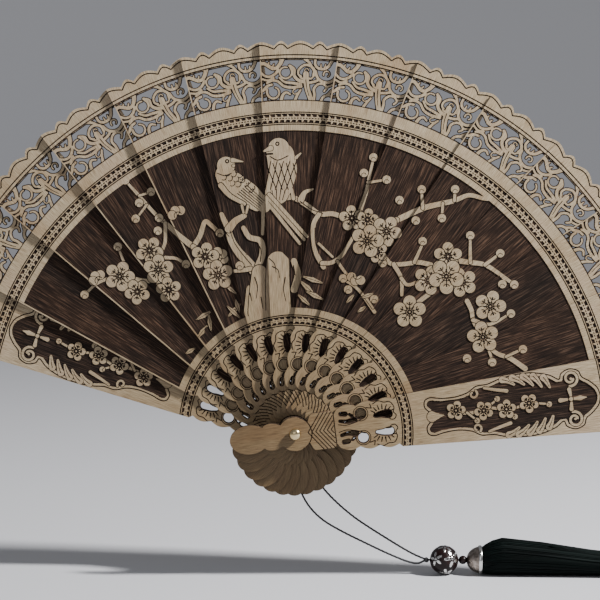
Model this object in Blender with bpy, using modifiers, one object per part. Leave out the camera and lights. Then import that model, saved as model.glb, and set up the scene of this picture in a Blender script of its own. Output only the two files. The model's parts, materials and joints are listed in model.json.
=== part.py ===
"""A pierced sandalwood folding fan: twelve sticks between two guards, turning on one rivet, linked
along the back by a silk ribbon, with a corded bead and tassel on the rivet's rear ring.

The rivet's centre is the origin, its axis is Y, the front faces -Y, and +Z is up. Units are metres."""

import math

import bmesh
import bpy
from mathutils import Matrix, Vector

MM = 0.001

# The spread of the open fan. Angles are in degrees, clockwise from +Z as seen from the front.
STICK_COUNT = 12
PITCH_DEG = 11.8
REAR_GUARD_DEG = -70.0
FRONT_GUARD_DEG = 82.7

# The stack of layers along Y, from the front guard at -Y to the rear guard at +Y.
STICK_THICK = 1.1 * MM
LAYER_GAP = 0.4 * MM
LAYER_PITCH = STICK_THICK + LAYER_GAP
GUARD_THICK = 2.6 * MM
OUTER_STICK_FACE = LAYER_PITCH * (STICK_COUNT - 1) / 2 + STICK_THICK / 2
GUARD_Y = OUTER_STICK_FACE + LAYER_GAP + GUARD_THICK / 2
STACK_HALF = GUARD_Y + GUARD_THICK / 2

# A stick's outline. V runs along the stick from the rivet, U across it.
HALF_WIDTH_AT_RIVET = 10.0 * MM
EDGE_TAPER = math.tan(math.radians(3.17))
RIM_RADIUS = 197.0 * MM
RIM_NOTCH_DEPTH = 2.4 * MM
RIM_CORNER_DROP = 3.4 * MM
SCALLOP_ENDS = (-1.0, -0.64, -0.31, 0.31, 0.64, 1.0)
SCALLOP_POINTS = 3
PIVOT_DISC = (0.0 * MM, 8.5 * MM, 8.5 * MM)
MIDDLE_LOBE = (-11.7 * MM, 7.4 * MM, 6.8 * MM)
END_LOBE = (-23.0 * MM, 10.0 * MM, 7.3 * MM)
LOBE_JOINTS = (6.9 * MM, -7.1 * MM, -15.9 * MM)
LOBE_POINTS = 5
# The heel block's corners as (V, U).
HEEL_BLOCK = (
    (8.2 * MM, 8.0 * MM), (9.3 * MM, 9.3 * MM),
    (18.8 * MM, 9.3 * MM), (20.6 * MM, 7.6 * MM),
)
GORGE_START = 22.0 * MM
BLADE_START = 51.5 * MM
GORGE_NOTCH = 1.5 * MM
GORGE_SCALLOPS = 3
GORGE_POINTS = 4

# Pierced windows as (V, U, half length along V, half width along U), all in metres.
GORGE_WINDOWS = (
    (27.0 * MM, 3.6 * MM, 3.0 * MM, 1.9 * MM),
    (44.5 * MM, 5.2 * MM, 5.2 * MM, 2.6 * MM),
)
RIM_WINDOWS = (
    (176.5 * MM, 12.4 * MM, 6.2 * MM, 3.4 * MM),
    (181.5 * MM, 4.8 * MM, 3.4 * MM, 2.4 * MM),
)
WINDOW_SIDES = 6

# How close points are made one, and the angle above which an edge stays sharp.
WELD_DISTANCE = 0.01 * MM
SHARP_ANGLE_DEG = 35

# The rivet, its washers and the ring that the tassel hangs from.
RIVET_RADIUS = 1.5 * MM
RIVET_HOLE_RADIUS = 1.9 * MM
RIVET_HOLE_SIDES = 12
HEAD_RADIUS = 2.9 * MM
HEAD_HEIGHT = 1.9 * MM
FIT_GAP = 0.3 * MM
WASHER_THICK = 0.4 * MM
FRONT_WASHER_RADIUS = 2.6 * MM
REAR_WASHER_RADIUS = 4.2 * MM
RING_RADIUS = 3.7 * MM
RING_WIRE_RADIUS = 0.7 * MM
REAR_CAP_RADIUS = 3.6 * MM
REAR_CAP_HEIGHT = 1.8 * MM
RING_Y = STACK_HALF + 2 * FIT_GAP + WASHER_THICK + RING_WIRE_RADIUS
RING_WIRE_SIDES = 8
RING_SLACK = 0.2 * MM
RING_Z = -(RING_RADIUS - RING_WIRE_RADIUS - RIVET_RADIUS - RING_SLACK)
REAR_CAP_Y = RING_Y + RING_WIRE_RADIUS + FIT_GAP
TURNED_STEPS = 20

# The silk ribbon across the back, one link between each two neighbouring sticks.
RIBBON_RADIUS = 159.5 * MM
RIBBON_WIDTH = 10.0 * MM
RIBBON_THICK = 0.2 * MM
RIBBON_CLEARANCE = 0.1 * MM
RIBBON_END_GAP = 0.8 * MM
RIBBON_STEP_GAP = 0.7 * MM

# The tassel lies on the surface TABLE_Z below the rivet, with its axis along X.
TABLE_Z = -75.2 * MM
BEAD_RADIUS = 7.5 * MM
TASSEL_Z = TABLE_Z + BEAD_RADIUS
TASSEL_Y = 11.0 * MM
CORD_RADIUS = 0.55 * MM
CORD_BORE_RADIUS = 1.2 * MM
CORD_STEP = 3.2 * MM
KNOT_X = 67.3 * MM
KNOT_RADIUS = 1.3 * MM
BEAD_X = KNOT_X + KNOT_RADIUS + FIT_GAP + BEAD_RADIUS
SMALL_BEAD_RADIUS = 2.2 * MM
SMALL_BEAD_SEAT = 0.1 * MM
SMALL_BEAD_X = BEAD_X + BEAD_RADIUS + SMALL_BEAD_RADIUS - SMALL_BEAD_SEAT
CAP_SEAT = 0.4 * MM
CAP_X = SMALL_BEAD_X + SMALL_BEAD_RADIUS - CAP_SEAT
CAP_LENGTH = 7.8 * MM
CAP_RADIUS = 7.0 * MM
CAP_WALL = 0.8 * MM
CAP_ARC_DEG = (0, 20, 40, 58, 72)
BAND_LENGTH = 1.6 * MM
BAND_RADIUS = 7.5 * MM
BAND_CLEARANCE = 0.1 * MM
CORE_POINTS = 8
CORD_ROUNDNESS = 2
KNOT_POINTS = 4
BEAD_POINTS = 10
SMALL_BEAD_POINTS = 6
DOME_POINTS = 6
SKIRT_X = CAP_X + CAP_LENGTH + FIT_GAP
SKIRT_LENGTH = 104.0 * MM
# Sections of the skirt as (place along it, height above the table, half width along Y).
SKIRT_SECTIONS = (
    (0.0, 14.6 * MM, 7.2 * MM), (0.04, 17.2 * MM, 8.8 * MM), (0.1, 19.0 * MM, 9.8 * MM),
    (0.3, 16.6 * MM, 10.6 * MM), (0.55, 12.4 * MM, 11.6 * MM), (1.0, 8.0 * MM, 13.0 * MM),
)

# The two cord strands from the ring to the knot, in millimetres: they hang behind the sticks' tails,
# then sag to the knot.
STRAND_A = (
    (-0.9, 15.3, -6.9), (-0.6, 15.6, -14.0), (0.6, 15.4, -24.0), (3.0, 15.0, -33.0), (7.6, 14.4, -41.0),
    (14.5, 13.7, -47.6), (24.0, 13.0, -53.2), (35.0, 12.3, -58.6), (46.0, 11.8, -63.8), (55.0, 11.5, -67.6),
    (60.5, 11.3, -69.3), (63.6, 11.2, -69.3), (65.7, 11.1, -68.3),
)
STRAND_B = (
    (0.9, 15.3, -6.9), (3.2, 16.6, -13.0), (8.4, 16.9, -22.5), (15.0, 16.3, -32.0), (22.4, 15.6, -39.6),
    (30.4, 14.9, -46.2), (38.4, 14.3, -51.6), (46.4, 13.7, -56.6), (54.0, 13.0, -61.2), (60.6, 12.2, -64.8),
    (65.6, 11.3, -66.9),
)

SANDALWOOD = ("sandalwood", (0.58, 0.46, 0.31), 0.6, 0.0)
BRASS = ("brass", (0.75, 0.62, 0.36), 0.3, 1.0)
SILVER = ("silver", (0.72, 0.70, 0.66), 0.3, 1.0)
SILK_RIBBON = ("silk_ribbon", (0.66, 0.56, 0.40), 0.7, 0.0)
CORD_SILK = ("cord_silk", (0.012, 0.012, 0.012), 0.7, 0.0)
DARK_WOOD = ("dark_wood", (0.03, 0.018, 0.014), 0.4, 0.0)
TASSEL_SILK = ("tassel_silk", (0.006, 0.016, 0.013), 0.6, 0.0)

# Turns a flat XY drawing, or an axis along Z, to face the front.
AXIS_TO_FRONT = Matrix.Rotation(math.radians(90), 4, "X")
AXIS_TO_REAR = Matrix.Rotation(math.radians(-90), 4, "X")
AXIS_TO_RIGHT = Matrix.Rotation(math.radians(90), 4, "Y")


def clear_scene():
    for obj in list(bpy.data.objects):
        bpy.data.objects.remove(obj, do_unlink=True)


def new_collection(name):
    collection = bpy.data.collections.new(name)
    bpy.context.scene.collection.children.link(collection)
    return collection


def material(description):
    name, colour, roughness, metallic = description
    found = bpy.data.materials.get(name)
    if found:
        return found
    made = bpy.data.materials.new(name)
    made.use_nodes = True
    shader = made.node_tree.nodes["Principled BSDF"]
    shader.inputs["Base Color"].default_value = (*colour, 1.0)
    shader.inputs["Roughness"].default_value = roughness
    shader.inputs["Metallic"].default_value = metallic
    return made


def add_object(name, data, description):
    obj = bpy.data.objects.new(name, data)
    if not data.materials:
        data.materials.append(material(description))
    FAN.objects.link(obj)
    return obj


def half_width(v):
    """Half of the stick's width at V, between the heel and the rim."""
    return HALF_WIDTH_AT_RIVET + v * EDGE_TAPER


def lobe_width(v, lobe):
    centre, half_length, half_wide = lobe
    return half_wide * math.sqrt(max(0.0, 1.0 - ((v - centre) / half_length) ** 2))


def lobe_side(lobe, start, end):
    """Right-hand points of an elliptical lobe between two places along V, evenly spread by angle."""
    centre, half_length, _ = lobe
    first = math.acos(max(-1.0, min(1.0, (start - centre) / half_length)))
    last = math.acos(max(-1.0, min(1.0, (end - centre) / half_length)))
    points = []
    for i in range(LOBE_POINTS + 1):
        v = centre + half_length * math.cos(first + (last - first) * i / LOBE_POINTS)
        points.append((lobe_width(v, lobe), v))
    return points


def tail_side():
    """Right-hand outline from the tip of the tail up to the heel block, without the tip itself."""
    disc_top, disc_bottom, middle_bottom = LOBE_JOINTS
    tail_tip = END_LOBE[0] - END_LOBE[1]
    points = lobe_side(END_LOBE, tail_tip, middle_bottom)[1:]
    points += lobe_side(MIDDLE_LOBE, middle_bottom, disc_bottom)[1:]
    points += lobe_side(PIVOT_DISC, disc_bottom, disc_top)[1:]
    return points


def gorge_side():
    """Right-hand edge of the gorge: shallow scallops that meet in notches."""
    points = []
    for i in range(GORGE_SCALLOPS):
        start = GORGE_START + (BLADE_START - GORGE_START) * i / GORGE_SCALLOPS
        end = GORGE_START + (BLADE_START - GORGE_START) * (i + 1) / GORGE_SCALLOPS
        points.append((half_width(start) - GORGE_NOTCH, start))
        for j in range(1, GORGE_POINTS):
            part = j / GORGE_POINTS
            v = start + (end - start) * part
            notch = GORGE_NOTCH * (1.0 - math.sin(math.pi * part))
            points.append((half_width(v) - notch, v))
    points.append((half_width(BLADE_START) - GORGE_NOTCH, BLADE_START))
    points.append((half_width(BLADE_START + GORGE_NOTCH), BLADE_START + GORGE_NOTCH))
    return points


def rim_points():
    """The scalloped rim, from the right-hand corner to the left: part, small, large, small, part."""
    corner_half = half_width(RIM_RADIUS - RIM_CORNER_DROP)
    points = []
    spans = list(zip(SCALLOP_ENDS, SCALLOP_ENDS[1:]))
    for low, high in reversed(spans):
        cut_by_edge = high == SCALLOP_ENDS[-1] or low == SCALLOP_ENDS[0]
        for i in range(SCALLOP_POINTS + 1):
            part = i / SCALLOP_POINTS
            across = high + (low - high) * part
            u = across * corner_half
            bulge = math.sin(math.pi * part)
            if cut_by_edge:
                from_edge = part if high == SCALLOP_ENDS[-1] else 1.0 - part
                bulge = math.cos(math.pi / 2 * from_edge)
            circle_v = math.sqrt(RIM_RADIUS ** 2 - u ** 2)
            points.append((u, circle_v - RIM_NOTCH_DEPTH * (1.0 - bulge)))
    kept = points[:1]
    for before, point in zip(points, points[1:]):
        if point[0] < before[0] - WELD_DISTANCE:
            kept.append(point)
    return kept


def stick_outline():
    """The whole outline, anticlockwise from the tail's tip. The left side mirrors the right."""
    right = tail_side()
    right += [(u, v) for v, u in HEEL_BLOCK]
    right += gorge_side()
    left = [(-u, v) for u, v in reversed(right)]
    return [(0.0, END_LOBE[0] - END_LOBE[1])] + right + rim_points() + left


def ellipse(centre_u, centre_v, half_u, half_v, sides):
    turns = [2 * math.pi * i / sides for i in range(sides)]
    return [(centre_u + half_u * math.cos(a), centre_v + half_v * math.sin(a)) for a in turns]


def stick_windows():
    """The rivet hole and the pierced windows, on both sides of the centre line."""
    windows = [ellipse(0.0, 0.0, RIVET_HOLE_RADIUS, RIVET_HOLE_RADIUS, RIVET_HOLE_SIDES)]
    for v, u, half_v, half_u in GORGE_WINDOWS + RIM_WINDOWS:
        for side in (1, -1):
            windows.append(ellipse(side * u, v, half_u, half_v, WINDOW_SIDES))
    return windows


def mesh_from(obj, name, turn):
    """The object's evaluated shape as a welded mesh, turned by a matrix. The object is removed."""
    bpy.context.view_layer.update()
    graph = bpy.context.evaluated_depsgraph_get()
    mesh = bpy.data.meshes.new_from_object(obj.evaluated_get(graph))
    mesh.transform(turn)
    data = obj.data
    bpy.data.objects.remove(obj, do_unlink=True)
    if isinstance(data, bpy.types.Curve):
        bpy.data.curves.remove(data)
    weld(mesh)
    mesh.name = name
    return mesh


def weld(mesh):
    edited = bmesh.new()
    edited.from_mesh(mesh)
    bmesh.ops.remove_doubles(edited, verts=edited.verts, dist=WELD_DISTANCE)
    edited.to_mesh(mesh)
    edited.free()


def flat_mesh(name, outlines, thickness, turn):
    """A sheet of even thickness cut to the outlines: the first is its edge, the others are holes."""
    curve = bpy.data.curves.new(name, "CURVE")
    curve.dimensions = "2D"
    curve.fill_mode = "BOTH"
    curve.extrude = thickness / 2
    for outline in outlines:
        spline = curve.splines.new("POLY")
        spline.points.add(len(outline) - 1)
        for point, (u, v) in zip(spline.points, outline):
            point.co = (u, v, 0.0, 1.0)
        spline.use_cyclic_u = True
    obj = bpy.data.objects.new(name, curve)
    FAN.objects.link(obj)
    return mesh_from(obj, name, turn)


def smooth_mesh(mesh):
    mesh.shade_smooth()
    mesh.set_sharp_from_angle(angle=math.radians(SHARP_ANGLE_DEG))


def turned_mesh(name, profile, turn, steps=TURNED_STEPS):
    """A closed profile of (radius, height) points, or one from axis to axis, turned about Z."""
    mesh = bpy.data.meshes.new(name)
    edges = [(i, i + 1) for i in range(len(profile) - 1)]
    on_axis = profile[0][0] == 0.0
    if not on_axis:
        edges.append((len(profile) - 1, 0))
    mesh.from_pydata([(radius, 0.0, height) for radius, height in profile], edges, [])
    obj = bpy.data.objects.new(name, mesh)
    FAN.objects.link(obj)
    screw = obj.modifiers.new("turn", "SCREW")
    screw.steps = steps
    screw.render_steps = steps
    screw.use_merge_vertices = True
    screw.merge_threshold = WELD_DISTANCE
    made = mesh_from(obj, name, turn)
    bpy.data.meshes.remove(mesh)
    smooth_mesh(made)
    return made


def place(obj, location, angle_deg=0.0):
    obj.location = location
    obj.rotation_euler = (0.0, math.radians(angle_deg), 0.0)
    return obj


def stick_angle(layer):
    """Layer 0 is the rear guard, at the left, and the last layer is the front guard, at the right."""
    if layer == STICK_COUNT + 1:
        return FRONT_GUARD_DEG
    return REAR_GUARD_DEG + PITCH_DEG * layer


def layer_y(layer):
    if layer == 0:
        return GUARD_Y
    if layer == STICK_COUNT + 1:
        return -GUARD_Y
    return LAYER_PITCH * ((STICK_COUNT + 1) / 2 - layer)


def layer_back(layer):
    """Y of the layer's rear face."""
    guard = layer in (0, STICK_COUNT + 1)
    return layer_y(layer) + (GUARD_THICK if guard else STICK_THICK) / 2


def make_sticks():
    outlines = [stick_outline()] + stick_windows()
    thin = flat_mesh("stick", outlines, STICK_THICK, AXIS_TO_FRONT)
    for layer in range(1, STICK_COUNT + 1):
        stick = add_object(f"stick_{layer:02d}", thin, SANDALWOOD)
        place(stick, (0.0, layer_y(layer), 0.0), stick_angle(layer))


def make_guards():
    outlines = [stick_outline()] + stick_windows()
    thick = flat_mesh("guard", outlines, GUARD_THICK, AXIS_TO_FRONT)
    for name, layer in (("rear_guard", 0), ("front_guard", STICK_COUNT + 1)):
        guard = add_object(name, thick, SANDALWOOD)
        place(guard, (0.0, layer_y(layer), 0.0), stick_angle(layer))


def dome_profile(radius, height, base, points=DOME_POINTS):
    """From the top of a dome down its outer side to its base plane."""
    profile = []
    for i in range(points + 1):
        angle = math.pi / 2 * i / points
        profile.append((radius * math.sin(angle), base + height * math.cos(angle)))
    return profile


def make_rivet():
    """One turned brass piece: the domed front head and the pin that every stick turns on."""
    head_base = STACK_HALF + 2 * FIT_GAP + WASHER_THICK
    pin_end = -(REAR_CAP_Y - FIT_GAP)
    profile = dome_profile(HEAD_RADIUS, HEAD_HEIGHT, head_base)
    profile += [(RIVET_RADIUS, head_base), (RIVET_RADIUS, pin_end), (0.0, pin_end)]
    add_object("rivet", turned_mesh("rivet", profile, AXIS_TO_FRONT), BRASS)


def make_rear_cap():
    profile = dome_profile(REAR_CAP_RADIUS, REAR_CAP_HEIGHT, 0.0) + [(0.0, 0.0)]
    cap = add_object("rear_cap", turned_mesh("rear_cap", profile, AXIS_TO_REAR), BRASS)
    place(cap, (0.0, REAR_CAP_Y, 0.0))


def make_washers():
    for name, radius, side in (
        ("front_washer", FRONT_WASHER_RADIUS, -1),
        ("rear_washer", REAR_WASHER_RADIUS, 1),
    ):
        half = WASHER_THICK / 2
        inner = RIVET_HOLE_RADIUS
        profile = [(inner, half), (radius, half), (radius, -half), (inner, -half)]
        washer = add_object(name, turned_mesh(name, profile, AXIS_TO_FRONT), BRASS)
        place(washer, (0.0, side * (STACK_HALF + FIT_GAP + half), 0.0))


def make_tassel_ring():
    """A wire ring that hangs on the rivet between the rear washer and the rear cap."""
    profile = [
        (RING_RADIUS + u, v)
        for u, v in reversed(ellipse(0.0, 0.0, RING_WIRE_RADIUS, RING_WIRE_RADIUS, RING_WIRE_SIDES))
    ]
    ring = add_object("tassel_ring", turned_mesh("tassel_ring", profile, AXIS_TO_FRONT), BRASS)
    place(ring, (0.0, RING_Y, RING_Z))


def make_ribbon():
    """One link from each stick's back to its left neighbour's, stepping back round that one's edge."""
    edge_angle = math.asin(half_width(RIBBON_RADIUS) / RIBBON_RADIUS)
    for layer in range(STICK_COUNT + 1):
        half_angle = math.radians((stick_angle(layer + 1) - stick_angle(layer)) / 2)
        chord_v = RIBBON_RADIUS * math.cos(half_angle)
        reach = RIBBON_RADIUS * math.sin(half_angle) - RIBBON_END_GAP
        right = layer_back(layer + 1) + RIBBON_CLEARANCE
        left = layer_back(layer) + RIBBON_CLEARANCE
        step = RIBBON_RADIUS * math.sin(edge_angle - half_angle) + RIBBON_STEP_GAP
        outer_step = step + RIBBON_THICK
        outer_right = right + RIBBON_THICK
        outer_left = left + RIBBON_THICK
        section = [
            (reach, right), (reach, outer_right), (outer_step, outer_right), (outer_step, outer_left),
            (-reach, outer_left), (-reach, left), (step, left), (step, right),
        ]
        name = f"ribbon_{layer + 1:02d}"
        middle = (stick_angle(layer) + stick_angle(layer + 1)) / 2
        turn = Matrix.Rotation(math.radians(middle), 4, "Y")
        turn = turn @ Matrix.Translation((0.0, 0.0, chord_v))
        add_object(name, flat_mesh(name, [section], RIBBON_WIDTH, turn), SILK_RIBBON)


def smooth_route(points, step):
    """A Catmull-Rom curve through the points, given in millimetres, sampled about every step."""
    anchors = [Vector(point) * MM for point in points]
    anchors = [2 * anchors[0] - anchors[1]] + anchors + [2 * anchors[-1] - anchors[-2]]
    route = []
    for before, start, end, after in zip(anchors, anchors[1:], anchors[2:], anchors[3:]):
        pieces = max(1, round((end - start).length / step))
        for i in range(pieces):
            t = i / pieces
            route.append(
                0.5 * (2 * start + (end - before) * t
                       + (2 * before - 5 * start + 4 * end - after) * t ** 2
                       + (3 * start - before - 3 * end + after) * t ** 3)
            )
    route.append(anchors[-2])
    return route


def tube(name, route, radius, description):
    curve = bpy.data.curves.new(name, "CURVE")
    curve.dimensions = "3D"
    curve.bevel_depth = radius
    curve.bevel_resolution = CORD_ROUNDNESS
    curve.use_fill_caps = True
    spline = curve.splines.new("POLY")
    spline.points.add(len(route) - 1)
    for point, place_on_route in zip(spline.points, route):
        point.co = (*place_on_route, 1.0)
    return add_object(name, curve, description)


def make_cords():
    tube("cord_strand_a", smooth_route(STRAND_A, CORD_STEP), CORD_RADIUS, CORD_SILK)
    tube("cord_strand_b", smooth_route(STRAND_B, CORD_STEP), CORD_RADIUS, CORD_SILK)
    start = Vector((KNOT_X + KNOT_RADIUS + FIT_GAP / 2, TASSEL_Y, TASSEL_Z))
    end = Vector((CAP_X + CAP_WALL, TASSEL_Y, TASSEL_Z))
    core = [start.lerp(end, i / CORE_POINTS) for i in range(CORE_POINTS + 1)]
    tube("cord_core", core, CORD_RADIUS, CORD_SILK)


def turned_on_tassel(name, profile, x, description, z=TASSEL_Z):
    """A piece turned about the tassel's axis: its profile's heights run from x towards +X."""
    obj = add_object(name, turned_mesh(name, profile, AXIS_TO_RIGHT), description)
    return place(obj, (x, TASSEL_Y, z))


def bored_ball(radius, bore, points):
    """A ball with a bore through it, from the far end of the bore down the outside and back up it."""
    reach = math.sqrt(radius ** 2 - bore ** 2)
    start = math.atan2(bore, reach)
    profile = []
    for i in range(points + 1):
        angle = start + (math.pi - 2 * start) * i / points
        profile.append((radius * math.sin(angle), radius * math.cos(angle)))
    return profile


def make_beads():
    knot = dome_profile(KNOT_RADIUS, KNOT_RADIUS, 0.0, KNOT_POINTS)
    knot += [(radius, -height) for radius, height in reversed(knot[:-1])]
    turned_on_tassel("cord_knot", knot, KNOT_X, CORD_SILK)
    large = bored_ball(BEAD_RADIUS, CORD_BORE_RADIUS, BEAD_POINTS)
    turned_on_tassel("carved_bead", large, BEAD_X, DARK_WOOD)
    small = bored_ball(SMALL_BEAD_RADIUS, CORD_BORE_RADIUS, SMALL_BEAD_POINTS)
    turned_on_tassel("small_bead", small, SMALL_BEAD_X, DARK_WOOD)


def cap_arc(radius, depth, base):
    """From the rim of a dome that opens towards +X down to the hole in its crown."""
    arc = []
    for degrees in CAP_ARC_DEG:
        angle = math.radians(degrees)
        arc.append((radius * math.cos(angle), base - depth * math.sin(angle)))
    return arc


def make_tassel_cap():
    """The domed metal cap, the bright band round its mouth and the bound silk head inside it."""
    outer = cap_arc(CAP_RADIUS, CAP_LENGTH, CAP_LENGTH)
    inner = cap_arc(CAP_RADIUS - CAP_WALL, CAP_LENGTH - CAP_WALL, CAP_LENGTH)
    turned_on_tassel("tassel_cap", outer + inner[::-1], CAP_X, SILVER)
    band_inner = CAP_RADIUS + BAND_CLEARANCE
    band_start = CAP_LENGTH - BAND_LENGTH
    band = [
        (BAND_RADIUS, CAP_LENGTH), (BAND_RADIUS, band_start),
        (band_inner, band_start), (band_inner, CAP_LENGTH),
    ]
    turned_on_tassel("cap_band", band, CAP_X, SILVER)
    inset = CAP_WALL + FIT_GAP
    head = [(0.0, CAP_LENGTH)] + cap_arc(CAP_RADIUS - inset, CAP_LENGTH - 2 * inset, CAP_LENGTH)
    head.append((0.0, head[-1][1]))
    turned_on_tassel("tassel_head", head, CAP_X, TASSEL_SILK)


def make_tassel_skirt():
    """The silk skirt lying on its side: turned at full roundness, then each section laid on the table."""
    profile = [(0.0, SKIRT_LENGTH)]
    profile += [(1.0, SKIRT_LENGTH * along) for along, _, _ in reversed(SKIRT_SECTIONS)]
    profile.append((0.0, 0.0))
    mesh = turned_mesh("tassel_skirt", profile, AXIS_TO_RIGHT)
    for vertex in mesh.vertices:
        along = vertex.co.x / SKIRT_LENGTH
        _, height, half_wide = min(SKIRT_SECTIONS, key=lambda section: abs(section[0] - along))
        vertex.co.y *= half_wide
        vertex.co.z = TABLE_Z + height * (vertex.co.z + 1.0) / 2
    skirt = add_object("tassel_skirt", mesh, TASSEL_SILK)
    place(skirt, (SKIRT_X, TASSEL_Y, 0.0))


clear_scene()
FAN = new_collection("sandalwood_folding_fan")
make_sticks()
make_guards()
make_rivet()
make_rear_cap()
make_washers()
make_tassel_ring()
make_ribbon()
make_cords()
make_beads()
make_tassel_cap()
make_tassel_skirt()
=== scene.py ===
"""The looks of the sandalwood folding fan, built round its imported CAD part.

Each stick and guard is carved from a flat board: its outline, its pierced holes and its burnt lines are
drawn as strokes on a fine grid, traced, and built as a two-level relief. Carving is in millimetres, in
the stick's own frame: U across it, V along it from the rivet. Everything else is in metres.
"""

import json
import math
import random

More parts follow.
